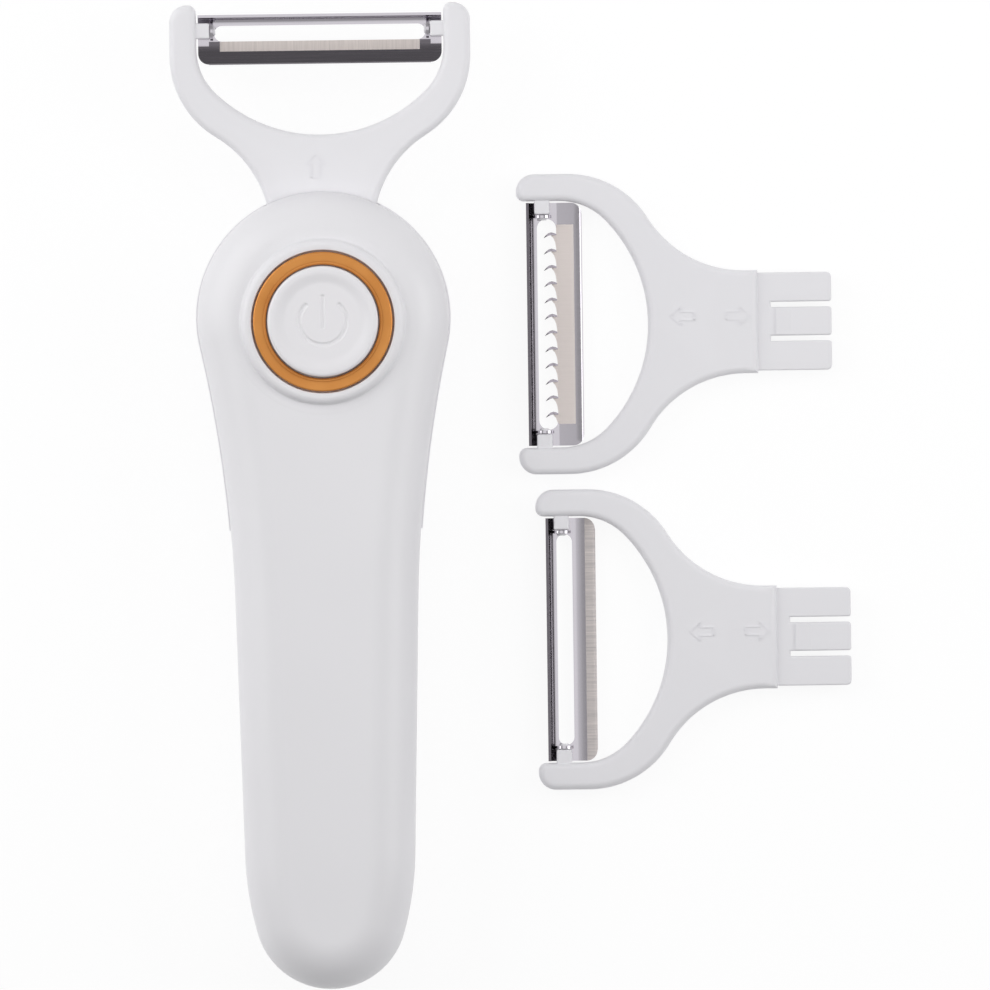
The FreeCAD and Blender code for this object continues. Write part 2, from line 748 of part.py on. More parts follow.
def battery_door(doc, s):
    """Back half of the grip, which slides off towards the tail on the rails of the tray."""
    body = new_body(doc, "battery_door")
    top = s.seam_height - s.door_gap
    back_shape(body, s, as_size(0), as_size(0), top)
    sketch = new_sketch(body)
    wide = s.bulge_radius + 5
    front = s.door_y - s.door_gap
    add_path(sketch, box_path(-wide, front, wide, s.bulge_y + s.bulge_radius + 5))
    cut(body, sketch)
    # inner ribs that ride on the rails of the tray
    rail_top = s.rail_z + s.rail_thick
    inner = tray_half(s) + s.rail_clear
    rib_low = rail_top + s.rail_clear
    for side in (-1, 1):
        sketch = new_sketch(body, lift=rib_low)
        rear = tray_rear(s) + 9
        outer_front = s.grip_half_upper - s.wall / 2
        outer_rear = s.grip_half_lower - s.wall / 2
        add_path(sketch, [
            (inner * side, front - 4), (outer_front * side, front - 4),
            (outer_front * side, s.grip_upper_y), (outer_rear * side, rear), (inner * side, rear),
        ])
        pad(body, sketch, top - rib_low - 0.6)
        # side tab that slips behind the edge of the back shell
        tab_inner = tray_half(s) + s.rail_out + 0.6
        tab_outer = s.grip_half_upper - s.wall - 0.2
        sketch = new_sketch(body, lift=s.back_round)
        add_path(sketch, box_path(tab_inner * side, front - 6, tab_outer * side, front + 2.6))
        pad(body, sketch, top - s.back_round - 1)
    # grip ridges on the outside near the seam
    for index in range(5):
        y = front - 9 - index * 2.4
        sketch = new_sketch(body)
        add_path(sketch, box_path(-7 + index * 1.0, y - 0.5, 7 - index * 1.0, y + 0.5))
        cut(body, sketch, 0.5, reverse=True)
    return body


def tray_half(s):
    """Outer half width of the battery tray."""
    return s.cell_x + s.cell_radius + s.cell_gap + s.tray_wall


def battery_tray(doc, s):
    """Trough for two cells side by side, open to the back, with rails and fixing tabs."""
    body = new_body(doc, "battery_tray")
    rear = tray_rear(s)
    half = tray_half(s)
    roof = tray_roof(s)
    sketch = new_sketch(body, lift=s.tray_floor)
    add_path(sketch, box_path(-half, rear, half, s.tray_front))
    pad(body, sketch, roof + s.tray_wall - s.tray_floor)
    sketch = new_sketch(body, lift=s.tray_floor)
    inner = half - s.tray_wall
    add_path(sketch, box_path(-inner, rear + s.tray_wall, inner, s.tray_front - s.tray_wall))
    cut(body, sketch, roof - s.tray_floor, reverse=True)
    for side in (-1, 1):
        sketch = new_sketch(body, lift=s.rail_z)
        add_path(sketch, box_path((half - 0.3) * side, rear + 4, (half + s.rail_out) * side, s.tray_front - 3))
        pad(body, sketch, s.rail_thick)
    ends = ((s.tray_front - 1, s.tray_front + s.tab_long), (rear - s.tab_long, rear + 1))
    for low_y, high_y in ends:
        sketch = new_sketch(body, lift=roof)
        add_path(sketch, box_path(-s.tab_half, low_y, s.tab_half, high_y))
        pad(body, sketch, s.tray_wall)
    for x, y in tray_places(s):
        sketch = new_sketch(body)
        add_circle(sketch, (x, y), s.screw_shank + s.screw_gap)
        cut(body, sketch)
    return body


def accent_ring(doc, s):
    """Metal trim ring in the seat of the collar."""
    body = new_body(doc, "accent_ring")
    low = s.collar_top - s.trim_depth
    top = s.collar_top + s.trim_proud
    bevel = s.trim_bevel
    sketch = new_sketch(body, "XZ_Plane")
    add_path(sketch, [
        (s.trim_inner, low), (s.trim_outer, low), (s.trim_outer, top - bevel),
        (s.trim_outer - bevel, top), (s.trim_inner + bevel * 1.6, top),
        (s.trim_inner, top - bevel * 1.6),
    ])
    turn(body, sketch)
    return body


def power_button(doc, s):
    """Cap with a dished middle, a flange under the roof and a stem on the plunger."""
    body = new_body(doc, "power_button")
    roof = s.front_height - s.wall
    low = roof - s.flange_thick
    flange = s.button_radius + s.button_flange
    under = s.button_top - s.dish_depth - s.button_skin
    bore = s.button_radius - s.button_skin
    sketch = new_sketch(body, "XZ_Plane")
    rim = s.button_round
    add_path(sketch, [
        (0, plunger_top(s)), (s.stem_radius, plunger_top(s)), (s.stem_radius, under),
        (bore, under), (bore, low), (flange, low), (flange, roof), (s.button_radius, roof),
        (s.button_radius, s.button_top - rim),
        Arc((s.button_radius - rim, s.button_top - rim), False),
        (s.button_radius - rim, s.button_top), (s.button_dish + s.dish_depth, s.button_top),
        (s.button_dish, s.button_top - s.dish_depth), (0, s.button_top - s.dish_depth),
    ])
    turn(body, sketch)
    return body


def board_top(s):
    return s.board_z + s.board_thick


def plunger_top(s):
    return board_top(s) + s.switch_high + s.button_travel + 0.5


def switch_board(doc, s):
    """Small circuit board that carries the push switch."""
    body = new_body(doc, "switch_board")
    sketch = new_sketch(body, lift=s.board_z)
    add_path(sketch, round_box_path(-s.board_half_x, -s.board_half_y, s.board_half_x, s.board_half_y, 2))
    pad(body, sketch, s.board_thick)
    for side in (-1, 1):
        sketch = new_sketch(body)
        add_circle(sketch, (s.board_post_x * side, 0), s.screw_shank + s.screw_gap)
        cut(body, sketch)
    return body


def power_switch(doc, s):
    """Push switch with the bore of its plunger."""
    body = new_body(doc, "power_switch")
    sketch = new_sketch(body, lift=board_top(s))
    add_path(sketch, box_path(-s.switch_half, -s.switch_half, s.switch_half, s.switch_half))
    pad(body, sketch, s.switch_high)
    sketch = new_sketch(body, lift=board_top(s) + s.switch_high)
    add_circle(sketch, (0, 0), s.plunger_radius + s.running_gap)
    cut(body, sketch, s.plunger_in + s.button_travel + 0.2)
    return body


def switch_plunger(doc, s):
    """Plunger between the switch and the stem of the button."""
    top = board_top(s) + s.switch_high
    low = top - s.plunger_in
    plunger = cylinder(doc, "switch_plunger", s.plunger_radius, plunger_top(s) - low, (0, 0, low))
    plunger.Label = "switch_plunger"
    return plunger


def head_socket(doc, s):
    """Sleeve behind the mouth that takes the tang and the end of the neck."""
    body = new_body(doc, "head_socket")
    fit = s.fit_gap
    shoulder = s.fork_y + s.neck_end
    rear = s.fork_y + s.tang_end - fit - s.socket_stop
    wide = s.neck_half + fit + s.socket_wall
    high = s.frame_thick / 2 + fit + s.socket_wall
    sketch = new_sketch(body, lift=s.head_z)
    add_path(sketch, box_path(-wide, rear, wide, s.socket_front))
    pad(body, sketch, high * 2, both=True)
    sketch = new_sketch(body, lift=s.head_z)
    neck = s.neck_half + fit
    add_path(sketch, box_path(-neck, shoulder - fit, neck, s.socket_front + 1))
    cut(body, sketch, (s.frame_thick / 2 + fit) * 2, both=True)
    sketch = new_sketch(body, lift=s.head_z)
    tang = s.tang_half + fit
    add_path(sketch, box_path(-tang, rear + s.socket_stop, tang, shoulder))
    cut(body, sketch, (s.tang_thick / 2 + fit) * 2, both=True)
    # relief along which the snap ramp of the middle tongue travels
    sketch = new_sketch(body, lift=s.head_z)
    relief = s.slit_x - s.slit_wide / 2
    add_path(sketch, box_path(-relief, rear + s.socket_stop, relief, s.socket_front + 1))
    cut(body, sketch, s.tang_thick / 2 + s.tongue_ramp + fit, reverse=True)
    return body


# heads

def head_frame(doc, s, label):
    """Forked frame of a head, about the bottom of its fork: arms, lugs, pins, neck and slit tang."""
    body = new_body(doc, label)
    side_x = s.arm_inner - s.fork_side_radius
    drop = s.fork_radius - s.fork_side_radius
    side_y = s.fork_radius - root(drop * drop - side_x * side_x)
    share = s.fork_radius / drop
    join = (side_x * share, s.fork_radius - (s.fork_radius - side_y) * share)
    outer_x = s.arm_outer - s.shoulder_radius
    rise = s.shoulder_y - s.flare_y
    flare = flare_radius(s)
    share = s.shoulder_radius / (s.shoulder_radius + flare)
    flare_x = s.neck_half + flare
    touch = (outer_x + (flare_x - outer_x) * share, s.shoulder_y - rise * share)
    sketch = new_sketch(body)
    add_path(sketch, with_mirror([
        (0, 0), Arc((0, s.fork_radius), False),
        join, Arc((side_x, side_y), False),
        (s.arm_inner, side_y), (s.arm_inner, s.arm_tip), (s.arm_outer, s.arm_tip),
        (s.arm_outer, s.shoulder_y), Arc((outer_x, s.shoulder_y), True),
        touch, Arc((flare_x, s.flare_y), False),
        (s.neck_half, s.flare_y), (s.neck_half, s.neck_end), (0, s.neck_end),
    ]))
    frame = pad(body, sketch, s.frame_thick, both=True)
    frame = soften(body, "Fillet", frame, upright_at(s.arm_outer, s.arm_tip), s.tip_round)

    def outline(edge):
        box = edge.BoundBox
        half = float(s.frame_thick) / 2
        level = box.ZLength < 1e-3 and abs(abs(box.ZMin) - half) < 1e-3
        return level and box.YMax > float(s.neck_end) + 0.01

    soften(body, "Fillet", frame, outline, s.frame_round)
    # tang with its two slits
    inner = s.slit_x - s.slit_wide / 2
    outer = s.slit_x + s.slit_wide / 2
    corner = s.frame_round
    sketch = new_sketch(body)
    add_path(sketch, with_mirror([
        (0, s.neck_end + 1), (s.tang_half, s.neck_end + 1), (s.tang_half, s.tang_end + corner),
        (s.tang_half - corner, s.tang_end), (outer + corner / 2, s.tang_end),
        (outer, s.tang_end + corner), (outer, s.slit_top), (inner, s.slit_top),
        (inner, s.tang_end + corner), (inner - corner / 2, s.tang_end), (0, s.tang_end),
    ]))
    pad(body, sketch, s.tang_thick, both=True)
    # snap ramp on the middle tongue
    face = s.tang_thick / 2
    top = s.slit_top - 1.2
    sketch = new_sketch(body, "YZ_Plane", lift=-inner + 0.2)
    add_path(sketch, [
        (top - s.ramp_long, face - 0.2), (top, face - 0.2), (top, face + s.tongue_ramp),
        (top - s.ramp_long, face),
    ])
    pad(body, sketch, (inner - 0.2) * 2)
    # lugs that carry the blade, each with its pin
    for side in (-1, 1):
        sketch = new_sketch(body, "YZ_Plane", lift=(s.arm_inner - s.lug_long) * side)
        add_path(sketch, round_box_path(
            s.pivot_y - s.lug_half, -s.lug_under, s.pivot_y + s.lug_half, s.lug_top, s.lug_round))
        pad(body, sketch, s.lug_long + s.frame_round, reverse=side < 0)
        sketch = new_sketch(body, "YZ_Plane", lift=(s.arm_inner - s.lug_long) * side)
        add_circle(sketch, (s.pivot_y, 0), s.pin_radius)
        pad(body, sketch, s.ear_gap + s.steel + 0.5, reverse=side > 0)
    return body


def blade_section(s, back_y):
    """Section of the stamped blade: tip wall, flat web and rising handle side, open upwards."""
    web = -s.channel_depth
    under = web - s.steel
    back_top = web + s.back_rise
    wall_in = s.blade_tip_y - s.steel
    return [
        (wall_in, s.wall_top), (wall_in - 0.2, web + 0.7), (s.web_tip, web),
        (-s.web_back, web), (-back_y, back_top), (-back_y - 0.1, back_top - s.steel),
        (-s.web_back - 0.1, under), (s.web_tip + 0.25, under),
        (s.blade_tip_y - 0.2, web + 0.45), (s.blade_tip_y, s.wall_top),
    ]


def blade(doc, s, label, back_y, slot_back, toothed):
    """Stamped steel blade about its swivel axis, with slot, bent up ears and ground edge."""
    body = new_body(doc, label)
    half = s.arm_inner - s.blade_gap
    sketch = new_sketch(body, "YZ_Plane")
    add_path(sketch, blade_section(s, back_y))
    strip = pad(body, sketch, half * 2, both=True)

    def corner(edge):
        box = edge.BoundBox
        at_end = abs(abs(box.XMin) - float(half)) < 1e-3 and box.XLength < 1e-3
        return at_end and box.YMax < -float(back_y) + 0.05

    soften(body, "Fillet", strip, corner, s.blade_corner)
    sketch = new_sketch(body)
    radius = (s.slot_tip + slot_back) / 2
    middle = (s.slot_tip - slot_back) / 2
    reach = s.slot_half - radius
    add_path(sketch, [
        (-reach, -slot_back), (reach, -slot_back), Arc((reach, middle), False),
        (reach, s.slot_tip), (-reach, s.slot_tip), Arc((-reach, middle), False),
    ])
    slotted = cut(body, sketch)
    web = -s.channel_depth

    def ground(edge):
        box = edge.BoundBox
        level = abs(box.ZMin - float(web)) < 1e-3 and box.ZLength < 1e-3
        return level and abs(box.YMin + float(slot_back)) < 1e-3 and box.YLength < 1e-3 and box.XLength > 20

    if not toothed:
        soften(body, "Chamfer", slotted, ground, s.edge_bevel)
    # ears turn on the pins of the lugs
    ear_in = s.arm_inner - s.lug_long - s.ear_gap - s.steel
    for side in (-1, 1):
        sketch = new_sketch(body, "YZ_Plane", lift=ear_in * side)
        add_path(sketch, [
            (-s.ear_half, web - 0.2), (s.web_tip - 0.1, web - 0.2), (s.ear_half, web + 0.5),
            (s.ear_half, 0), Arc((0, 0), False), (-s.ear_half, 0),
        ])
        pad(body, sketch, s.steel, reverse=side < 0)
    sketch = new_sketch(body, "YZ_Plane")
    add_circle(sketch, (0, 0), s.pin_radius + s.running_gap)
    cut(body, sketch)
    if toothed:
        add_teeth(body, s, slot_back)
    return body


def add_teeth(body, s, slot_back):
    """Row of curved thorns bent up out of the slot, all leaning the same way."""
    count = int(round(float(s.tooth_count)))
    base = s.tooth_base
    root_y = -slot_back
    root_z = -s.channel_depth - s.steel / 2
    sketch = new_sketch(body)
    sketch.AttachmentOffset = FreeCAD.Placement(
        FreeCAD.Vector(0, float(root_y), float(root_z)),
        FreeCAD.Rotation(FreeCAD.Vector(1, 0, 0), float(s.tooth_lift)))
    bind(sketch, "AttachmentOffset.Base.y", root_y)
    bind(sketch, "AttachmentOffset.Base.z", root_z)
    start = s.tooth_pitch * (1 - count) / 2 - base / 2
    add_path(sketch, [
        (start, -s.steel), (start + base, -s.steel), (start + base, 0.2),
        (start + base * 0.62, s.tooth_long * 0.45), (start + base * 0.2, s.tooth_long),
        (start + base * 0.08, s.tooth_long * 0.5), (start, 0.2),
    ])
    tooth = pad(body, sketch, s.steel * 0.8)
    row = body.newObject("PartDesign::LinearPattern", "row")
    row.Originals = [tooth]
    row.Direction = (sketch, ["H_Axis"])
    bind(row, "Length", s.tooth_pitch * (count - 1))
    row.Occurrences = count
    body.Tip = row
    body.Document.recompute()


def stand(thing, x, y, z, turned):
    """Put a head piece at its place, turned a quarter for the spare heads."""
    return place(thing, x, y, z, (0, 0, 1), 90.0 if turned else 0.0)


def fitted_head(doc, s):
    frame = head_frame(doc, s, "head_frame")
    stand(frame, 0, s.fork_y, s.head_z, False)
    steel = blade(doc, s, "head_blade", s.blade_back_y, s.slot_back, False)
    stand(steel, 0, s.fork_y + s.pivot_y, s.head_z, False)
    return [frame, steel]


def spare_heads(doc, s):
    flat = s.frame_thick / 2
    toothed = head_frame(doc, s, "toothed_spare_frame")
    stand(toothed, s.spare_x, s.toothed_spare_y, flat, True)
    teeth = blade(doc, s, "toothed_spare_blade", s.julienne_back_y, s.julienne_slot_back, True)
    stand(teeth, s.spare_x - s.pivot_y, s.toothed_spare_y, flat, True)
    plain = head_frame(doc, s, "plain_spare_frame")
    plain_x = s.spare_x + s.plain_shift
    stand(plain, plain_x, s.plain_spare_y, flat, True)
    steel = blade(doc, s, "plain_spare_blade", s.blade_back_y, s.slot_back, False)
    stand(steel, plain_x - s.pivot_y, s.plain_spare_y, flat, True)
    return [toothed, teeth, plain, steel]


# drive

def motor(doc, s):
    """Motor can with flats, plastic end cap, shaft and half round weight."""
    along = (1, 0, 0)
    body = new_body(doc, "motor_can")
    sketch = new_sketch(body, "XZ_Plane", lift=-s.motor_front)
    half_flat = root(s.motor_half_x * s.motor_half_x - s.motor_half_z * s.motor_half_z)
    middle = s.motor_z
    add_path(sketch, [
        (-half_flat, middle - s.motor_half_z), (half_flat, middle - s.motor_half_z),
        Arc((0, middle), False), (half_flat, middle + s.motor_half_z),
        (-half_flat, middle + s.motor_half_z), Arc((0, middle), False),
    ])
    can = pad(body, sketch, s.motor_long - s.motor_cap_long)
    sketch = new_sketch(body, "XZ_Plane", lift=-s.motor_front)
    add_circle(sketch, (0, middle), s.nose_radius)
    pad(body, sketch, s.nose_long, reverse=True)
    sketch = new_sketch(body, "XZ_Plane", lift=-s.motor_front - s.nose_long)
    add_circle(sketch, (0, middle), s.shaft_radius + s.running_gap)
    cut(body, sketch, s.shaft_inside + s.nose_long + s.weight_gap, reverse=True)
    cap = new_body(doc, "motor_end_cap")
    sketch = new_sketch(cap, "XZ_Plane", lift=-s.motor_front + s.motor_long - s.motor_cap_long)
    add_circle(sketch, (0, middle), s.motor_half_z - s.cap_inset)
    pad(cap, sketch, s.motor_cap_long)
    for side in (-1, 1):
        sketch = new_sketch(cap, "XZ_Plane", lift=-s.motor_front + s.motor_long)
        centre = s.motor_half_z * 0.6 * side
        add_path(sketch, box_path(centre - s.terminal_half, middle - s.terminal_thick / 2,
                                  centre + s.terminal_half, middle + s.terminal_thick / 2))
        pad(cap, sketch, s.terminal_long)
    shaft = cylinder(doc, "motor_shaft", s.shaft_radius, s.shaft_out + s.shaft_inside,
                     (0, s.motor_front - s.shaft_inside, middle), along, -90.0)
    shaft.Label = "motor_shaft"
    weight = new_body(doc, "eccentric_weight")
    back = s.motor_front + s.nose_long + s.weight_gap
    sketch = new_sketch(weight, "XZ_Plane", lift=-back)
    hub = s.weight_hub
    add_path(sketch, [
        (s.weight_radius, middle), Arc((0, middle), False), (-s.weight_radius, middle),
        (-hub, middle), Arc((0, middle), False), (hub, middle),
    ])
    pad(weight, sketch, s.weight_long, reverse=True)
    sketch = new_sketch(weight, "XZ_Plane")
    add_circle(sketch, (0, middle), s.shaft_radius)
    cut(weight, sketch)
    return [body, cap, shaft, weight]


def motor_clamp(doc, s):
    """Sheet bracket over the motor with two screwed feet."""
    body = new_body(doc, "motor_clamp")
    gap = s.part_gap
    inner = s.motor_half_x + gap
    outer = inner + s.clamp_thick
    top = s.motor_z + s.motor_half_z + gap
    foot = s.motor_z - s.motor_half_z * 0.5
    reach = outer + s.clamp_foot
    sketch = new_sketch(body, "XZ_Plane", lift=-clamp_y(s))
    add_path(sketch, with_mirror([
        (0, top + s.clamp_thick), (outer, top + s.clamp_thick), (outer, foot + s.clamp_thick),
        (reach, foot + s.clamp_thick), (reach, foot), (inner, foot), (inner, top), (0, top),
    ]))
    pad(body, sketch, s.clamp_long, both=True)
    for side in (-1, 1):
        sketch = new_sketch(body, lift=foot)
        add_circle(sketch, (clamp_screw_x(s) * side, clamp_y(s)), s.screw_shank + s.screw_gap)
        cut(body, sketch, s.clamp_thick + 0.5, reverse=True)
    return body


# battery bay

def cells(doc, s):
    """Two cells, head to tail."""
    front = s.tray_front - s.tray_wall - s.contact_thick
    made = []
    for number, (side, nub_forward) in enumerate(((1, True), (-1, False)), start=1):
        name = "battery_cell_%d" % number
        top = front if nub_forward else front - s.spring_long
        low = top - s.cell_long
        can_low = low if nub_forward else low + s.nub_long
        x = s.cell_x * side
        can = cylinder(doc, "can", s.cell_radius, s.cell_long - s.nub_long,
                       (x, can_low, s.cell_z), (1, 0, 0), -90.0)
        nub_low = top - s.nub_long if nub_forward else low
        nub = cylinder(doc, "nub", s.nub_radius, s.nub_long, (x, nub_low, s.cell_z), (1, 0, 0), -90.0)
        made.append(fuse(doc, name, [can, nub]))
    return made


def contacts(doc, s):
    """Front plates, one for each cell, and the long rear plate that joins the cells."""
    front = s.tray_front - s.tray_wall - s.contact_thick
    rear = tray_rear(s) + s.tray_wall
    half = s.contact_half
    plates = []
    for side in (-1, 1):
        plates.append(box(doc, "plate", (s.cell_x * side - half, front, s.cell_z - half),
                          (half * 2, s.contact_thick, half * 2)))
    pair = group(doc, "front_contacts", plates)
    bridge = box(doc, "bridge_contact", (-s.cell_x - half, rear, s.cell_z - half),
                 ((s.cell_x + half) * 2, s.contact_thick, half * 2))
    bridge.Label = "bridge_contact"
    return [pair, bridge]


def springs(doc, s):
    """Contact springs behind the flat end of each cell, drawn as plain cones."""
    front = s.tray_front - s.tray_wall - s.contact_thick
    rear = tray_rear(s) + s.tray_wall + s.contact_thick
    made = []
    for name, side, low in (("rear_spring", 1, rear), ("front_spring", -1, front - s.spring_long)):
        coils = doc.addObject("Part::Cone", name)
        wide, narrow = s.spring_wide, s.spring_narrow
        bind(coils, "Radius1", wide if side > 0 else narrow)
        bind(coils, "Radius2", narrow if side > 0 else wide)
        bind(coils, "Height", s.spring_long)
        place(coils, s.cell_x * side, low, s.cell_z, (1, 0, 0), -90.0)
        coils.Label = name
        made.append(coils)
    return made


# screws

def screw(doc, s, x, y, head_z, length, up=True):
    """Round headed screw whose shank points up from the head."""
    head = cylinder(doc, "head", s.screw_head, s.screw_head_high, (x, y, head_z - s.screw_head_high))
    shank = cylinder(doc, "shank", s.screw_shank, length, (x, y, head_z))
    return fuse(doc, "screw", [head, shank])


def screws(doc, s):
    shell = []
    for x, y in shell_places(s):
        shell.append(screw(doc, s, x, y, s.head_depth, s.seam_height - s.head_depth + s.screw_bite - 0.5))
    tray = []
    for x, y in tray_places(s):
        tray.append(screw(doc, s, x, y, tray_roof(s), s.tray_wall + s.screw_bite - 1.5))
    board = []
    for side in (-1, 1):
        board.append(screw(doc, s, s.board_post_x * side, 0, s.board_z, s.board_thick + s.board_bite))
    clamp = []
    foot = s.motor_z - s.motor_half_z * 0.5 + s.clamp_thick
    for side in (-1, 1):
        head = cylinder(doc, "head", s.screw_head - 0.3, s.screw_head_high,
                        (clamp_screw_x(s) * side, clamp_y(s), foot))
        depth = s.clamp_thick + s.clamp_bite
        shank = cylinder(doc, "shank", s.screw_shank, depth,
                         (clamp_screw_x(s) * side, clamp_y(s), foot - depth))
        clamp.append(fuse(doc, "screw", [head, shank]))
    return [group(doc, "shell_screws", shell), group(doc, "tray_screws", tray),
            group(doc, "board_screws", board), group(doc, "clamp_screws", clamp)]


def check(doc, pieces):
    """Every object is up to date and every piece is a sound solid."""
    for thing in doc.Objects:
        if "Invalid" in thing.State or "Error" in thing.State:
            raise ValueError("%s failed: %s" % (thing.Label, thing.State))
    for piece in pieces:
        shape = piece.Shape
        if shape.isNull() or not shape.isValid() or not shape.Solids:
            raise ValueError("no sound solid for " + piece.Label)


def main():
    doc = FreeCAD.newDocument("peeler")
    s = Sizes(doc)
    pieces = [front_shell(doc, s), back_shell(doc, s), battery_door(doc, s), battery_tray(doc, s)]
    pieces += [accent_ring(doc, s), power_button(doc, s), switch_board(doc, s)]
    pieces += [power_switch(doc, s), switch_plunger(doc, s), head_socket(doc, s)]
    pieces += fitted_head(doc, s) + spare_heads(doc, s)
    pieces += motor(doc, s) + [motor_clamp(doc, s)]
    pieces += cells(doc, s) + contacts(doc, s) + springs(doc, s)
    pieces += screws(doc, s)
    doc.recompute()
    check(doc, pieces)
    os.makedirs("parts", exist_ok=True)
    for piece in pieces:
        piece.Shape.exportStep("parts/%s.step" % piece.Label)
        print("%-24s %10.1f mm3" % (piece.Label, piece.Shape.Volume))


main()
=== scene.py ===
import json
import logging
import math
from contextlib import contextmanager
from dataclasses import dataclass, field
from enum import Enum
from typing import Any, Iterable, Iterator, Optional, Sequence

import bmesh
import bpy
from mathutils import Matrix, Vector


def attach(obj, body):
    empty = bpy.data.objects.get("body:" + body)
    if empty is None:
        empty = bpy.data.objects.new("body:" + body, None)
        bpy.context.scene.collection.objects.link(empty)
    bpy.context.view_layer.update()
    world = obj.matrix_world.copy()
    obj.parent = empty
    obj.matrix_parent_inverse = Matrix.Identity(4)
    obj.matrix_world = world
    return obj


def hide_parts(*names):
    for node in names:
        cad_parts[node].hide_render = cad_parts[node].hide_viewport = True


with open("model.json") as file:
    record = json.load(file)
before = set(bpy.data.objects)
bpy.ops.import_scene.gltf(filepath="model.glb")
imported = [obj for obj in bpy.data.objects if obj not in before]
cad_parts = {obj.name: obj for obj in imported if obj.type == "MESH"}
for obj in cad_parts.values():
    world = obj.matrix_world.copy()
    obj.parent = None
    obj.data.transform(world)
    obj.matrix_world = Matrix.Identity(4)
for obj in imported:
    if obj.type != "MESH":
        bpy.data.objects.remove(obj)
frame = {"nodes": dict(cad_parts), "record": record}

LOG = logging.getLogger("peeler")
MM = 0.001
WHITE = (1.0, 1.0, 1.0, 1.0)
Point = tuple[float, float]
Piece = bpy.types.Object
Tree = bpy.types.NodeTree
Node = bpy.types.Node
Socket = bpy.types.NodeSocket
SCREW_PLACES = [(x * side, y) for x, y in ((17.2, 13.6), (14.6, -40.6)) for side in (-1, 1)]


def to_linear(code: str, alpha: float = 1.0) -> tuple[float, float, float, float]:
    """Turn an sRGB hex colour into linear values.

    Args:
        code: six hex digits.
        alpha: opacity.

    Returns:
        Linear red, green and blue, and the opacity.
    """
    parts = []
    for start in (0, 2, 4):
        value = int(code[start:start + 2], 16) / 255
        parts.append(value / 12.92 if value <= 0.04045 else ((value + 0.055) / 1.055) ** 2.4)
    return parts[0], parts[1], parts[2], alpha


def add_node(tree: Tree, kind: str, settings: Optional[dict[str, Any]] = None,
             links: Optional[dict[Any, Any]] = None) -> Node:
    """Add one node with its settings and links.

    Args:
        tree: the node tree.
        kind: the node's type name.
        settings: properties, or input values where the name starts with "in:".
        links: input name or number to an output socket.

    Returns:
        The new node.
    """
    node = tree.nodes.new(kind)
    for name, value in (settings or {}).items():
        if name.startswith("in:"):
            key = name[3:]
            node.inputs[int(key) if key.isdigit() else key].default_value = value
        else:
            setattr(node, name, value)
    for name, socket in (links or {}).items():
        tree.links.new(socket, node.inputs[name])
    return node


def noise(tree: Tree, place: Socket, grain: Sequence[float], detail: float) -> Socket:
    """Add a noise pattern.

    Args:
        tree: the node tree.
        place: the coordinates.
        grain: its grain along each axis, in millimetres.
        detail: how many finer layers it has.

    Returns:
        The pattern, 0 to 1.
    """
    stretch = add_node(tree, "ShaderNodeMapping", {"in:Scale": [1 / (size * MM) for size in grain]},
                       {"Vector": place})
    pattern = add_node(tree, "ShaderNodeTexNoise", {"in:Scale": 1.0, "in:Detail": detail},
                       {"Vector": stretch.outputs[0]})
    return pattern.outputs["Fac"]


# finishes

@dataclass(frozen=True)
class Finish:
    """A surface finish; build() makes its material once."""

    name: str
    colour: str
    roughness: float

    def build(self) -> bpy.types.Material:
        """Return the material, made at the first call."""
        ready = bpy.data.materials.get(self.name)
        if ready:
            return ready
        material = bpy.data.materials.new(self.name)
        material.use_nodes = True
        tree = material.node_tree
        tree.nodes.clear()
        shader = add_node(tree, "ShaderNodeBsdfPrincipled", {
            "in:Base Color": to_linear(self.colour), "in:Roughness": self.roughness})
        add_node(tree, "ShaderNodeOutputMaterial", links={"Surface": shader.outputs[0]})
        place = add_node(tree, "ShaderNodeTexCoord").outputs["Object"]
        self.dress(tree, shader, place)
        return material

    def dress(self, tree: Tree, shader: Node, place: Socket) -> None:
        """Add the finish's own pattern; the plain finish adds none."""

    def relief(self, tree: Tree, shader: Node, height: Socket, depth_mm: float) -> None:
        """Link a height pattern to the shader's normal.

        Args:
            tree: the node tree.
            shader: the principled shader.
            height: the height, 0 to 1.
            depth_mm: the depth of the pattern.
        """
        bump = add_node(tree, "ShaderNodeBump", {"in:Strength": 1.0, "in:Distance": depth_mm * MM},
                        {"Height": height})
        tree.links.new(bump.outputs[0], shader.inputs["Normal"])

    def vary_roughness(self, tree: Tree, shader: Node, pattern: Socket, spread: float) -> None:
        """Let a 0 to 1 pattern move the roughness up and down by spread."""
        band = add_node(tree, "ShaderNodeMapRange", {
            "in:From Min": 0.3, "in:From Max": 0.7, "in:To Min": self.roughness - spread,
            "in:To Max": self.roughness + spread}, {"Value": pattern})
        tree.links.new(band.outputs[0], shader.inputs["Roughness"])

    def vary_colour(self, tree: Tree, shader: Node, pattern: Socket, low: str, high: str) -> None:
        """Run the base colour between two hex colours by a 0 to 1 pattern."""
        mix = add_node(tree, "ShaderNodeMix", {"data_type": "RGBA"}, {0: pattern})
        mix.inputs[6].default_value = to_linear(low)
        mix.inputs[7].default_value = to_linear(high)
        tree.links.new(mix.outputs[2], shader.inputs["Base Color"])


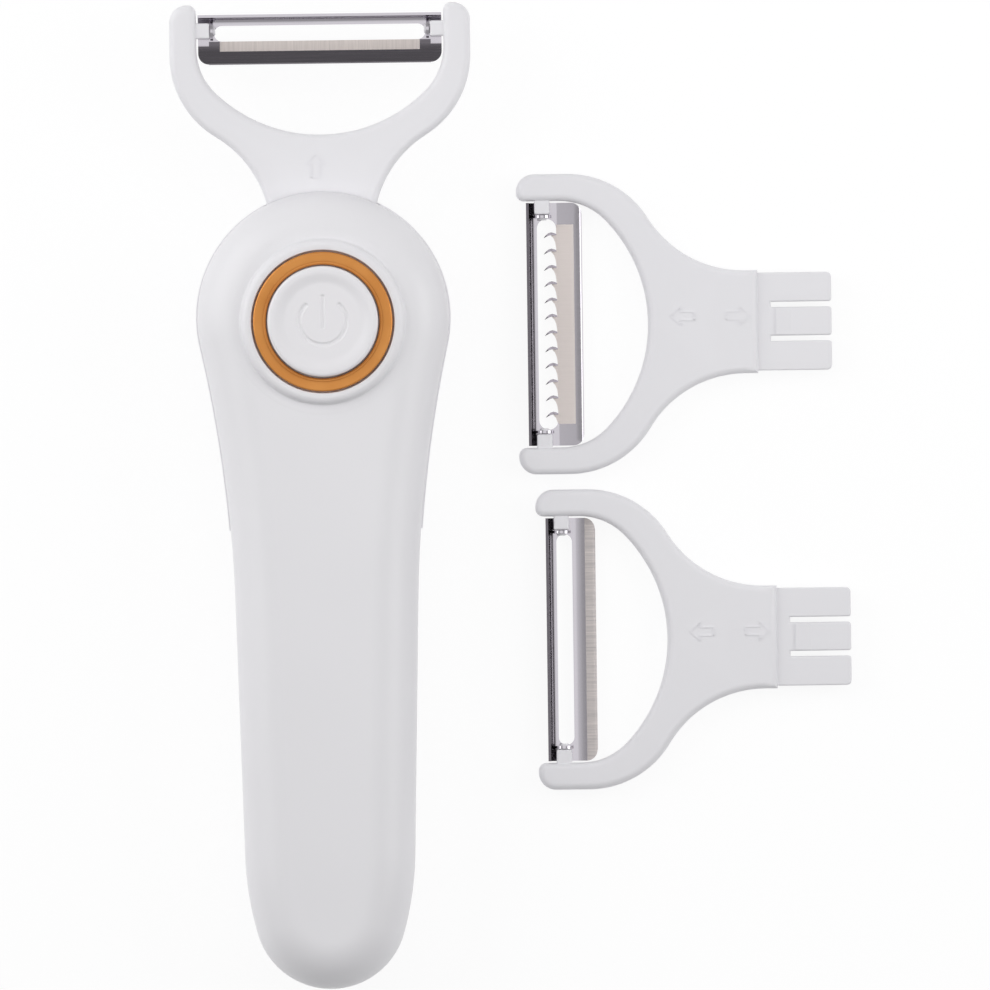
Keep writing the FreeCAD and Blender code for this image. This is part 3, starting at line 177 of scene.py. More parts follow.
@dataclass(frozen=True)
class MouldedAbs(Finish):
    """ABS moulded in a finely sparked tool: an even, slightly silky white with a soft gloss."""

    tint: str = "F1F0F3"
    grain_mm: float = 0.45

    def dress(self, tree: Tree, shader: Node, place: Socket) -> None:
        """Spark grain, a faint drift of tint and of gloss."""
        shader.inputs["IOR"].default_value = 1.53
        # real spark grain is near 0.05 mm; drawn coarser so that it shows at all
        drift = noise(tree, place, [30.0] * 3, 1.0)
        self.relief(tree, shader, noise(tree, place, [self.grain_mm] * 3, 2.0), 0.004)
        self.vary_roughness(tree, shader, drift, 0.03)
        self.vary_colour(tree, shader, drift, self.colour, self.tint)


@dataclass(frozen=True)
class PolishedSteel(Finish):
    """Stamped stainless strip, tumbled bright: sharp reflections with a faint wave of the roll."""

    grain_mm: float = 0.25
    depth_mm: float = 0.0015

    def dress(self, tree: Tree, shader: Node, place: Socket) -> None:
        """Rolling marks along the strip and small clouds of gloss."""
        shader.inputs["Metallic"].default_value = 1.0
        marks = noise(tree, place, (14.0, self.grain_mm, self.grain_mm), 3.0)
        self.relief(tree, shader, marks, self.depth_mm)
        self.vary_roughness(tree, shader, marks, self.roughness * 0.4)


@dataclass(frozen=True)
class GroundSteel(Finish):
    """The ground edge of the blade: a matte warm grey strip crossed by fine grinding lines."""

    along_x: bool = True
    pitch_mm: float = 0.3
    bright: str = "EDE4E0"

    def dress(self, tree: Tree, shader: Node, place: Socket) -> None:
        """Grinding lines square to the edge."""
        shader.inputs["Metallic"].default_value = 0.75
        fine, long = self.pitch_mm, 8.0
        grain = (fine, long, long) if self.along_x else (long, fine, long)
        lines = noise(tree, place, grain, 4.0)
        self.relief(tree, shader, lines, 0.006)
        self.vary_colour(tree, shader, lines, self.colour, self.bright)


@dataclass(frozen=True)
class CopperLacquer(Finish):
    """Anodised copper toned ring, spun and lacquered: satin orange with turning lines round it."""

    deep: str = "CE843C"
    light: str = "E49E54"

    def dress(self, tree: Tree, shader: Node, place: Socket) -> None:
        """Turning lines that follow the circle about the button, and a slow change of tone."""
        shader.inputs["Metallic"].default_value = 0.55
        apart = add_node(tree, "ShaderNodeSeparateXYZ", links={"Vector": place})
        flat = add_node(tree, "ShaderNodeCombineXYZ", links={
            "X": apart.outputs["X"], "Y": apart.outputs["Y"]})
        radius = add_node(tree, "ShaderNodeVectorMath", {"operation": "LENGTH"},
                          {0: flat.outputs[0]})
        turned = add_node(tree, "ShaderNodeCombineXYZ", links={"X": radius.outputs["Value"]})
        lines = noise(tree, turned.outputs[0], [0.22] * 3, 2.0)
        self.relief(tree, shader, lines, 0.003)
        self.vary_roughness(tree, shader, lines, 0.05)
        self.vary_colour(tree, shader, noise(tree, place, [7.0] * 3, 1.0), self.deep, self.light)


@dataclass(frozen=True)
class CircuitBoard(Finish):
    """Green solder mask over woven glass laminate, with darker copper runs under it."""

    def dress(self, tree: Tree, shader: Node, place: Socket) -> None:
        """Blocky copper runs under the mask."""
        cells = add_node(tree, "ShaderNodeTexVoronoi", {
            "in:Scale": 1 / (2.2 * MM), "distance": "CHEBYCHEV"}, {"Vector": place})
        self.vary_colour(tree, shader, cells.outputs["Distance"], "0E5A2C", "1C7A3E")
        self.relief(tree, shader, cells.outputs["Distance"], 0.03)


@dataclass(frozen=True)
class PlatedMetal(Finish):
    """Nickel, zinc or tin plate on small metal parts: soft grey gloss with fine mottling."""

    warm: str = "B9B6B0"

    def dress(self, tree: Tree, shader: Node, place: Socket) -> None:
        """Fine mottling of tone and gloss."""
        shader.inputs["Metallic"].default_value = 1.0
        mottle = noise(tree, place, [0.8] * 3, 3.0)
        self.vary_colour(tree, shader, mottle, self.colour, self.warm)
        self.vary_roughness(tree, shader, mottle, 0.07)
        self.relief(tree, shader, mottle, 0.004)


class Palette(Enum):
    """Every finish of the peeler and its spare heads."""

    SHELL = MouldedAbs("moulded_white_abs", "ECEBEE", 0.38)
    BUTTON = MouldedAbs("moulded_button_abs", "EEECEF", 0.34)
    FRAME = MouldedAbs("moulded_frame_abs", "EDECF0", 0.4)
    INNER = MouldedAbs("moulded_inner_abs", "D4D3D6", 0.5, "DAD9DC")
    BLACK = MouldedAbs("moulded_black_nylon", "17171A", 0.45, "1E1E22")
    STEEL = PolishedSteel("polished_stamped_steel", "CFCBD2", 0.13)
    # a darker copy of the polished steel: painted shade on the fitted blade's dark bands, the spare
    # blades' tip walls and the claw fins
    DARK_STEEL = PolishedSteel("shaded_dark_steel", "706C72", 0.24)
    GROUND = GroundSteel("ground_edge_steel", "C8C0BC", 0.5)
    # a lighter copy of the ground steel: painted light on the ground edges and claws of the spare
    # heads
    GROUND_SPARE = GroundSteel("ground_edge_steel_spare", "E6DDD9", 0.5, False)
    SATIN = GroundSteel("satin_band_steel", "9F9C9E", 0.45, False)
    COPPER = CopperLacquer("copper_lacquer", "D08A40", 0.34)
    BOARD = CircuitBoard("green_circuit_board", "126534", 0.35)
    PLATE = PlatedMetal("nickel_plate", "B4B4B8", 0.28)
    ZINC = PlatedMetal("zinc_plated_screw", "A3A3A8", 0.34)
    BRASS = PlatedMetal("turned_brass", "B8934E", 0.3, "C7A560")
    CELL = MouldedAbs("printed_cell_sleeve", "24583A", 0.28, "2A6341")

    def material(self) -> bpy.types.Material:
        """The material of this finish."""
        return self.value.build()


# mesh helpers

def new_piece(name: str, points: Sequence[Sequence[float]], faces: Sequence[Sequence[int]],
              finish: Palette, smooth: bool = True) -> Piece:
    """Make a mesh object at the origin from points in millimetres.

    Args:
        name: the piece's name.
        points: its vertices in millimetres.
        faces: its faces.
        finish: its finish.
        smooth: whether its faces are shaded smooth.

    Returns:
        The linked object.
    """
    mesh = bpy.data.meshes.new(name)
    mesh.from_pydata([tuple(value * MM for value in point) for point in points], [], faces)
    mesh.materials.append(finish.material())
    mesh.validate()
    if smooth:
        mesh.shade_smooth()
    piece = bpy.data.objects.new(name, mesh)
    bpy.context.collection.objects.link(piece)
    return piece


def apply_modifiers(piece: Piece) -> Piece:
    """Bake the modifiers of a piece into its mesh and remove them."""
    bpy.context.view_layer.update()
    graph = bpy.context.evaluated_depsgraph_get()
    baked = bpy.data.meshes.new_from_object(piece.evaluated_get(graph))
    piece.modifiers.clear()
    old = piece.data
    piece.data = baked
    bpy.data.meshes.remove(old)
    piece.data.name = piece.name
    return piece


@contextmanager
def open_mesh(piece: Piece) -> Iterator[bmesh.types.BMesh]:
    """Hand out a piece's mesh for editing and write it back."""
    build = bmesh.new()
    build.from_mesh(piece.data)
    yield build
    build.to_mesh(piece.data)
    build.free()


def orient(piece: Piece) -> None:
    """Merge doubles and turn the faces of a closed mesh outwards."""
    with open_mesh(piece) as build:
        bmesh.ops.remove_doubles(build, verts=build.verts, dist=1e-6)
        bmesh.ops.recalc_face_normals(build, faces=build.faces)


def cut_with(piece: Piece, cutters: Iterable[Piece]) -> None:
    """Cut closed pieces out of a piece and delete them."""
    tools = list(cutters)
    for tool in tools:
        orient(tool)
        step = piece.modifiers.new("cut", "BOOLEAN")
        step.operation = "DIFFERENCE"
        step.solver = "EXACT"
        step.object = tool
    apply_modifiers(piece)
    for tool in tools:
        bpy.data.objects.remove(tool)


def join(name: str, pieces: Sequence[Piece]) -> Piece:
    """Join pieces into the first one, with their material slots.

    Args:
        name: the name of the result.
        pieces: what is joined; all but the first are removed.

    Returns:
        The joined object.
    """
    first = pieces[0]
    with bpy.context.temp_override(active_object=first, object=first,
                                   selected_objects=list(pieces),
                                   selected_editable_objects=list(pieces)):
        bpy.ops.object.join()
    first.name = name
    first.data.name = name
    return first


def smooth_edges(piece: Piece, angle: float = 32.0) -> None:
    """Shade smooth up to an angle, with flats kept flat by face area."""
    piece.data.shade_smooth()
    limit = math.radians(angle)
    with open_mesh(piece) as build:
        for edge in build.edges:
            edge.smooth = len(edge.link_faces) == 2 and edge.calc_face_angle(0) < limit
    weigh = piece.modifiers.new("weigh", "WEIGHTED_NORMAL")
    weigh.keep_sharp = True
    weigh.weight = 100
    apply_modifiers(piece)


def copy_node(node: str, name: str, finish: Palette, angle: float = 30.0) -> Piece:
    """A merged and smoothly shaded copy of a frame node, which it replaces.

    Args:
        node: the node.
        name: the name of the copy.
        finish: its finish.
        angle: edges sharper than this stay sharp.

    Returns:
        The copy.
    """
    mesh = frame["nodes"][node].data.copy()
    piece = bpy.data.objects.new(name, mesh)
    bpy.context.collection.objects.link(piece)
    with open_mesh(piece) as build:
        bmesh.ops.remove_doubles(build, verts=build.verts, dist=2e-6)
    mesh.materials.clear()
    mesh.materials.append(finish.material())
    for face in mesh.polygons:
        face.material_index = 0
    smooth_edges(piece, angle)
    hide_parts(node)
    return piece


def arc_points(centre: Point, radius: float, start: float, end: float, count: int) -> list[Point]:
    """Points on an arc, angles in degrees, both ends included."""
    found = []
    for step in range(count + 1):
        angle = math.radians(start + (end - start) * step / count)
        found.append((centre[0] + radius * math.cos(angle), centre[1] + radius * math.sin(angle)))
    return found


def mirror_closed(half: Sequence[Point]) -> list[Point]:
    """Close a right half, from axis to axis, with its mirror image."""
    return list(half) + [(-x, y) for x, y in reversed(half[1:-1])]


def inset_loop(loop: Sequence[Point], depth: float) -> list[Point]:
    """Move every point of a clockwise loop inwards along its corner's bisector."""
    moved = []
    total = len(loop)
    for index in range(total):
        before, here, after = loop[index - 1], loop[index], loop[(index + 1) % total]
        one = Vector((here[0] - before[0], here[1] - before[1])).normalized()
        two = Vector((after[0] - here[0], after[1] - here[1])).normalized()
        inward = Vector((one.y + two.y, -one.x - two.x))
        if inward.length < 1e-9:
            moved.append(here)
            continue
        inward.normalize()
        share = max(0.5, inward.x * one.y - inward.y * one.x)
        moved.append((here[0] + inward.x * depth / share, here[1] + inward.y * depth / share))
    return moved


def stack_loops(loops: Sequence[Sequence[Sequence[float]]]) -> tuple[list[Any], list[Any]]:
    """Points and side faces of closed loops that lie one above the other."""
    points = [point for loop in loops for point in loop]
    size = len(loops[0])
    faces = []
    for level in range(len(loops) - 1):
        for index in range(size):
            following = (index + 1) % size
            low, high = level * size, (level + 1) * size
            faces.append((low + index, low + following, high + following, high + index))
    return points, faces


def fill_flat(piece: Piece, heights: Iterable[float]) -> None:
    """Close the open loops of a piece that lie at these heights, in millimetres."""
    with open_mesh(piece) as build:
        for height in heights:
            rim = [edge for edge in build.edges if edge.is_boundary
                   and all(abs(vertex.co.z - height * MM) < 1e-7 for vertex in edge.verts)]
            if rim:
                bmesh.ops.triangle_fill(build, use_beauty=True, edges=rim, normal=(0, 0, 1))


def prism(name: str, loop: Sequence[Point], low: float, high: float, finish: Palette,
          smooth: bool = True) -> Piece:
    """A closed block of any outline.

    Args:
        name: the piece's name.
        loop: its outline in millimetres.
        low: height of its bottom.
        high: height of its top.
        finish: its finish.
        smooth: whether its faces are shaded smooth.

    Returns:
        The block.
    """
    points, faces = stack_loops([[(x, y, height) for x, y in loop] for height in (low, high)])
    piece = new_piece(name, points, faces, finish, smooth)
    fill_flat(piece, (low, high))
    return piece


@dataclass
class RoundedPlate:
    """A flat plate of any outline with rounded edges."""

    outline: list[Point]
    thick: float
    rounding: float
    steps: int = 6

    def build(self, name: str, finish: Palette) -> Piece:
        """Make the plate."""
        turns = [math.pi / 2 * (1 - step / self.steps) for step in range(self.steps + 1)]
        levels = [(self.rounding * (1 - math.cos(turn)), self.rounding * (1 - math.sin(turn)))
                  for turn in turns]
        half = self.thick / 2
        profile = [(inset, -half + drop) for inset, drop in levels]
        profile += [(inset, half - drop) for inset, drop in reversed(levels)]
        points, faces = stack_loops([
            [(x, y, height) for x, y in inset_loop(self.outline, inset)]
            for inset, height in profile])
        piece = new_piece(name, points, faces, finish)
        fill_flat(piece, (-half, half))
        orient(piece)
        return piece


def revolve(name: str, profile: Sequence[Point], finish: Palette, sides: int = 160,
            centre: Point = (0.0, 0.0)) -> Piece:
    """Turn a closed profile of radius and height about an upright axis.

    Args:
        name: the piece's name.
        profile: radius and height pairs in millimetres, closed.
        finish: its finish.
        sides: the number of steps round.
        centre: the axis.

    Returns:
        The turned piece.
    """
    points = []
    faces = []
    size = len(profile)
    for side in range(sides):
        angle = math.tau * side / sides
        for radius, height in profile:
            points.append((centre[0] + radius * math.cos(angle),
                           centre[1] + radius * math.sin(angle), height))
        ahead = (side + 1) % sides
        for index in range(size):
            following = (index + 1) % size
            faces.append((side * size + index, ahead * size + index,
                          ahead * size + following, side * size + following))
    piece = new_piece(name, points, faces, finish)
    with open_mesh(piece) as build:
        bmesh.ops.remove_doubles(build, verts=build.verts, dist=1e-6)
        bmesh.ops.dissolve_degenerate(build, edges=build.edges, dist=1e-6)
        bmesh.ops.recalc_face_normals(build, faces=build.faces)
    return piece


def block(name: str, low: Sequence[float], high: Sequence[float], finish: Palette,
          bevel: float = 0.0) -> Piece:
    """A box between two corners in millimetres, with its edges bevelled round."""
    xs, ys, zs = zip(low, high)
    points = [(x, y, z) for x in xs for y in ys for z in zs]
    faces = [(0, 1, 3, 2), (4, 6, 7, 5), (0, 4, 5, 1), (2, 3, 7, 6), (0, 2, 6, 4), (1, 5, 7, 3)]
    piece = new_piece(name, points, faces, finish, smooth=False)
    orient(piece)
    if bevel:
        soft = piece.modifiers.new("soft", "BEVEL")
        soft.width = bevel * MM
        soft.segments = 3
        apply_modifiers(piece)
        piece.data.shade_smooth()
    return piece


# geometry node trees

class NodeForm:
    """A geometry node tree with named inputs, and how it is turned into a plain mesh."""

    def __init__(self, name: str, inputs: Sequence[tuple[str, str, Any]]) -> None:
        """Make the tree and its inputs.

        Args:
            name: the tree's name.
            inputs: name, socket type and value of each input.
        """
        self.tree = bpy.data.node_groups.new(name, "GeometryNodeTree")
        face = self.tree.interface
        face.new_socket("Geometry", in_out="INPUT", socket_type="NodeSocketGeometry")
        self.names: dict[str, str] = {}
        for label, kind, value in inputs:
            socket = face.new_socket(label, in_out="INPUT", socket_type=kind)
            if kind != "NodeSocketObject":
                socket.default_value = value
            self.names[label] = socket.identifier
        face.new_socket("Geometry", in_out="OUTPUT", socket_type="NodeSocketGeometry")
        self.entry = add_node(self.tree, "NodeGroupInput")
        self.values: dict[str, Any] = {label: value for label, _kind, value in inputs}

    def input(self, label: str) -> Socket:
        """The output socket that carries a named input."""
        return self.entry.outputs[label]

    def finish(self, shape: Socket, material: Optional[bpy.types.Material]) -> None:
        """End the tree in realised instances and a material.

        Args:
            shape: the geometry.
            material: its material, or none where the instances bring theirs.
        """
        last = add_node(self.tree, "GeometryNodeRealizeInstances", links={0: shape})
        if material:
            last = add_node(self.tree, "GeometryNodeSetMaterial", {"in:Material": material},
                            {0: last.outputs[0]})
        add_node(self.tree, "NodeGroupOutput", links={0: last.outputs[0]})

    def grow(self, name: str, base: Optional[bpy.types.Mesh] = None) -> Piece:
        """Run the tree on a new object and keep the result as a plain mesh.

        Args:
            name: the name of the piece.
            base: the mesh the tree starts from, or none.

        Returns:
            The finished piece.
        """
        piece = bpy.data.objects.new(name, base or bpy.data.meshes.new(name))
        bpy.context.collection.objects.link(piece)
        step = piece.modifiers.new("form", "NODES")
        step.node_group = self.tree
        for label, identifier in self.names.items():
            step[identifier] = self.values[label]
        apply_modifiers(piece)
        return piece


def rows_of(form: NodeForm, item: Socket, scale: Optional[Socket] = None) -> Socket:
    """Copies of one shape in a straight row, by the inputs Count, Start and Step.

    Args:
        form: the form with those inputs.
        item: the shape.
        scale: the scale of each copy, or none.

    Returns:
        The copies, as instances.
    """
    line = add_node(form.tree, "GeometryNodeMeshLine", {"mode": "OFFSET"}, {
        "Count": form.input("Count"), "Start Location": form.input("Start"),
        "Offset": form.input("Step")})
    copies = add_node(form.tree, "GeometryNodeInstanceOnPoints", links={
        "Points": line.outputs[0], "Instance": item})
    if scale:
        form.tree.links.new(scale, copies.inputs["Scale"])
    return copies.outputs[0]


def ribbon(name: str, routes: Sequence[Sequence[Sequence[float]]], wide: float, high: float,
           finish: Palette) -> Piece:
    """Raised strips that follow straight routes, made with curve to mesh.

    Args:
        name: the piece's name.
        routes: chains of points in millimetres.
        wide: width of the strip.
        high: height of the strip.
        finish: its finish.

    Returns:
        The strips as one piece.
    """
    points = [point for route in routes for point in route]
    edges = []
    start = 0
    for route in routes:
        edges += [(start + index, start + index + 1) for index in range(len(route) - 1)]
        start += len(route)
    base = bpy.data.meshes.new(name)
    base.from_pydata([tuple(v * MM for v in p) for p in points], edges, [])
    form = NodeForm(name + "_form", [("Width", "NodeSocketFloat", wide * MM),
                                     ("Height", "NodeSocketFloat", high * MM)])
    path = add_node(form.tree, "GeometryNodeMeshToCurve", links={0: form.input("Geometry")})
    section = add_node(form.tree, "GeometryNodeCurvePrimitiveQuadrilateral", links={
        "Width": form.input("Width"), "Height": form.input("Height")})
    strip = add_node(form.tree, "GeometryNodeCurveToMesh", {"in:Fill Caps": True}, {
        0: path.outputs[0], "Profile Curve": section.outputs[0]})
    form.finish(strip.outputs[0], finish.material())
    piece = form.grow(name, base)
    piece.data.shade_flat()
    return piece


# handle

@dataclass
class Handle:
    """The hollow handle: front lid with collar, back shell and battery door."""

    bulge_radius: float = 27.65
    bulge_y: float = 1.0
    waist_radius: float = 290.0
    grip_upper: Point = (20.1, -61.0)
    grip_lower: Point = (19.0, -105.0)
    flank_radius: float = 70.0
    tail_radius: float = 16.7
    tail_y: float = -129.9
    seam: float = 15.0
    front: float = 28.5
    wall: float = 2.0
    front_round: float = 10.0
    back_round: float = 9.0
    back_lip: float = 0.35
    door_y: float = -45.6
    door_gap: float = 0.2
    collar_radius: float = 18.0
    collar_top: float = 30.4
    collar_blend: float = 0.16
    button_hole: float = 12.5
    ring_seat: float = 28.6
    ring_hole: float = 15.73
    mouth_low: float = 11.65
    mouth_high: float = 18.35

    def side_line(self) -> tuple[float, float, float]:
        """The grip's straight side: its outward normal and its distance from the origin."""
        (x1, y1), (x2, y2) = self.grip_upper, self.grip_lower
        lean = (x1 - x2) / (y1 - y2)
        nx = 1 / math.hypot(1, lean)
        ny = -lean * nx
        return nx, ny, x1 * nx + y1 * ny

    def waist_centre(self) -> Point:
        """Centre of the hollow arc between the round end and the grip."""
        nx, ny, reach = self.side_line()
        across = reach + self.waist_radius
        step = across - self.bulge_y * ny
        along = self.bulge_y * nx - math.sqrt(
            (self.bulge_radius + self.waist_radius) ** 2 - step * step)
        return across * nx - along * ny, across * ny + along * nx

    def flank_centre(self) -> Point:
        """Centre of the full arc between the grip and the tail."""
        nx, ny, reach = self.side_line()
        inner = reach - self.flank_radius
        step = inner - self.tail_y * ny
        along = self.tail_y * nx + math.sqrt(
            (self.flank_radius - self.tail_radius) ** 2 - step * step)
        return inner * nx - along * ny, inner * ny + along * nx

    def outline(self, inset: float) -> list[Point]:
        """The outline moved inwards, clockwise from the round end.

        Args:
            inset: how far it is moved.

        Returns:
            The points of the outline in millimetres.
        """
        nx, ny, _reach = self.side_line()
        waist, flank = self.waist_centre(), self.flank_centre()
        lean = math.degrees(math.atan2(ny, nx))
        meet = math.degrees(math.atan2(waist[1] - self.bulge_y, waist[0]))
        end = math.degrees(math.atan2(self.tail_y - flank[1], -flank[0]))
        half = arc_points((0, self.bulge_y), self.bulge_radius - inset, 90, meet, 40)
        half += arc_points(waist, self.waist_radius + inset, 180 + meet, 180 + lean, 26)[1:]
        top = half[-1]
        low = arc_points(flank, self.flank_radius - inset, lean, end, 14)
        dx, dy = low[0][0] - top[0], low[0][1] - top[1]
        half += [(top[0] + dx * step / 14, top[1] + dy * step / 14) for step in range(1, 14)]
        half += low + arc_points((0, self.tail_y), self.tail_radius - inset, end, -90, 30)[1:]
        half[0] = (0.0, half[0][1])
        half[-1] = (0.0, half[-1][1])
        return mirror_closed(half)

    def cup(self, name: str, edge_z: float, flat_z: float, rounding: float, grow: float,
            hole: float) -> Piece:
        """A rounded hollow half, its rim at edge_z and its flat at flat_z.

        Args:
            name: the piece's name.
            edge_z: height of the rim.
            flat_z: height of the flat.
            rounding: radius of the edge round.
            grow: how far the outline is moved out.
            hole: radius of the button's hole through the flat, or 0.

        Returns:
            The hollow half.
        """
        up = 1 if flat_z > edge_z else -1
        straight = abs(flat_z - edge_z) - rounding
        levels = [(0.0, edge_z), (0.0, edge_z + up * straight * 0.5)]
        for step in range(17):
            turn = math.pi / 2 * step / 16
            levels.append((rounding * (1 - math.cos(turn)),
                           edge_z + up * (straight + rounding * math.sin(turn))))
        points, faces = stack_loops([[(x, y, height) for x, y in self.outline(inset - grow)]
                                     for inset, height in levels])
        if hole:
            start = len(points)
            points += [(x, y, flat_z) for x, y in arc_points((0, 0), hole, 0, 360, 120)[:-1]]
            faces.append(tuple(range(start, start + 120)))
        piece = new_piece(name, points, faces, Palette.SHELL)
        if hole:
            with open_mesh(piece) as build:
                build.faces.ensure_lookup_table()
                bmesh.ops.delete(build, geom=[build.faces[-1]], context="FACES_ONLY")
        fill_flat(piece, (flat_z,))
        with open_mesh(piece) as build:
            bmesh.ops.recalc_face_normals(build, faces=build.faces)
            low = min(build.faces, key=lambda f: -up * f.calc_center_median().z)
            if low.normal.z * up < 0:
                bmesh.ops.reverse_faces(build, faces=build.faces)
        wall = piece.modifiers.new("wall", "SOLIDIFY")
        wall.thickness = self.wall * MM
        wall.offset = -1.0
        return apply_modifiers(piece)

    def mouth_cutter(self) -> Piece:
        """The block that opens the mouth for the neck of the head."""
        half = [(0.0, 34.0), (15.2, 34.0), (13.9, 29.6), (12.6, 25.2), (11.75, 20.5), (11.7, 18.9),
                (0.0, 18.9)]
        return prism("mouth_cutter", mirror_closed(half), self.mouth_low, self.mouth_high,
                     Palette.SHELL)

    def lid_height(self, x: float, y: float) -> float:
        """Height of the lid's surface at a point near the collar."""
        centre = self.waist_centre()
        meet = math.atan2(centre[1] - self.bulge_y, centre[0])
        if math.atan2(y - self.bulge_y, abs(x)) > meet:
            inset = self.bulge_radius - math.hypot(x, y - self.bulge_y)
        else:
            inset = math.hypot(abs(x) - centre[0], y - centre[1]) - self.waist_radius
        missing = max(0.0, self.front_round - inset)
        return self.front - self.front_round + math.sqrt(self.front_round ** 2 - missing ** 2)

    def collar(self) -> Piece:
        """The raised collar that runs softly into the lid, with the seat of the trim ring."""
        top, outer, sides = self.collar_top, self.collar_radius, 200
        hole, seat, edge = self.button_hole, self.ring_seat, 0.15
        wall = [(hole, 27.0), (hole, seat), (self.ring_hole, seat), (self.ring_hole, top - edge)]
        wall += arc_points((self.ring_hole + edge, top - edge), edge, 180, 90, 3)[1:]
        crown = arc_points((outer - 1.5, top - 1.5), 1.5, 90, 0, 12)
        crown += [(outer + 0.25 * step, top - 1.5 - 1.2 * step) for step in range(1, 3)]
        skirt = [(outer + 0.8 + 0.3 * step, top - 4.6 - 1.6 * step) for step in range(12)]
        loops: list[list[Sequence[float]]] = []
        for radius, height in wall + crown + skirt:
            loop = []
            sink = 0.06 * max(0.0, radius - outer - 2.2)
            for side in range(sides):
                angle = math.tau * side / sides
                x, y = radius * math.cos(angle), radius * math.sin(angle)
                level = height
                if radius > outer - 1.5:
                    lid = self.lid_height(x, y) + 0.012 - sink
                    gap = height - lid
                    level = lid + (gap + math.sqrt(gap * gap + self.collar_blend)) / 2
                loop.append((x, y, level))
            loops.append(loop)
        rim = [(x, y, z - 0.9) for x, y, z in loops[-1]]
        points, faces = stack_loops(loops + [rim])
        last = len(points) - sides
        for side in range(sides):
            ahead = (side + 1) % sides
            faces.append((last + side, last + ahead, ahead, side))
        collar = new_piece("collar", points, faces, Palette.SHELL)
        orient(collar)
        return collar

    def build(self) -> list[Piece]:
        """Make and place the three shells."""
        front = self.cup("front_lid", self.seam, self.front, self.front_round, 0.0,
                         self.button_hole)
        back = self.cup("back_half", self.seam, 0.0, self.back_round, self.back_lip, 0.0)
        door = self.cup("door_half", self.seam - self.door_gap, 0.0, self.back_round, 0.0, 0.0)
        big = 60.0
        cut_with(front, [self.mouth_cutter()])
        holes = [revolve("screw_hole", [(0, -1), (2.6, -1), (2.6, 6.2), (0, 6.2)],
                         Palette.SHELL, 40, place) for place in SCREW_PLACES]
        cut_with(back, [self.mouth_cutter(),
                        block("rear_cut", (-big, -200, -5), (big, self.door_y, 20), Palette.SHELL)])
        cut_with(back, holes)
        cut_with(door, [block("front_cut", (-big, self.door_y - self.door_gap, -5), (big, 60, 20),
                              Palette.SHELL), self.grip_cutter()])
        for piece in (front, back, door):
            smooth_edges(piece, 35)
        front = join("front_shell_moulding", [front, self.collar()])
        back.name = "back_shell_moulding"
        door.name = "battery_door_moulding"
        tube = [(1.31, 5.9), (2.56, 5.9), (2.56, 0.6), (3.7, 1.2), (3.7, 15), (1.31, 15)]
        back = join("back_shell_moulding", [back] + [
            revolve("screw_tube", tube, Palette.SHELL, 40, place) for place in SCREW_PLACES])
        for piece, node, body in ((front, "front_shell", "handle"), (back, "back_shell", "handle"),
                                  (door, "battery_door", "door")):
            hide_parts(node)
            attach(piece, body)
        return [front, back, door]

    def grip_cutter(self) -> Piece:
        """Five bars, each shorter than the one before, that press the thumb grip into the door."""
        form = NodeForm("grip_groove_form", [
            ("Count", "NodeSocketInt", 5), ("Start", "NodeSocketVector", (0, -0.0548, 0)),
            ("Step", "NodeSocketVector", (0, -0.0024, 0)),
            ("Size", "NodeSocketVector", (0.014, 0.001, 0.001)),
            ("Shrink", "NodeSocketVector", (-1 / 7, 0, 0))])
        bar = add_node(form.tree, "GeometryNodeMeshCube", links={"Size": form.input("Size")})
        order = add_node(form.tree, "GeometryNodeInputIndex")
        less = add_node(form.tree, "ShaderNodeVectorMath", {"operation": "SCALE"}, {
            0: form.input("Shrink"), "Scale": order.outputs[0]})
        scale = add_node(form.tree, "ShaderNodeVectorMath", {"operation": "ADD", "in:1": (1, 1, 1)},
                         {0: less.outputs[0]})
        form.finish(rows_of(form, bar.outputs[0], scale.outputs[0]), Palette.SHELL.material())
        return form.grow("grip_cutter")


@dataclass
class TrimRing:
    """Copper toned ring round the button."""

    inner: float = 12.45
    outer: float = 15.3
    low: float = 28.6
    top: float = 30.85

    def build(self) -> Piece:
        """Make the ring with a flat face, a rolled outer edge and a sloping inner edge."""
        profile = [(self.inner, self.low), (self.outer, self.low)]
        profile += arc_points((self.outer - 0.35, self.top - 0.35), 0.35, 0, 90, 6)
        profile += [(self.inner + 0.9, self.top - 0.05)]
        profile += arc_points((self.inner + 0.5, self.top - 0.75), 0.5, 75, 180, 8)
        ring = revolve("trim_ring", profile, Palette.COPPER, 240)
        smooth_edges(ring, 40)
        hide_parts("accent_ring")
        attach(ring, "handle")
        return ring


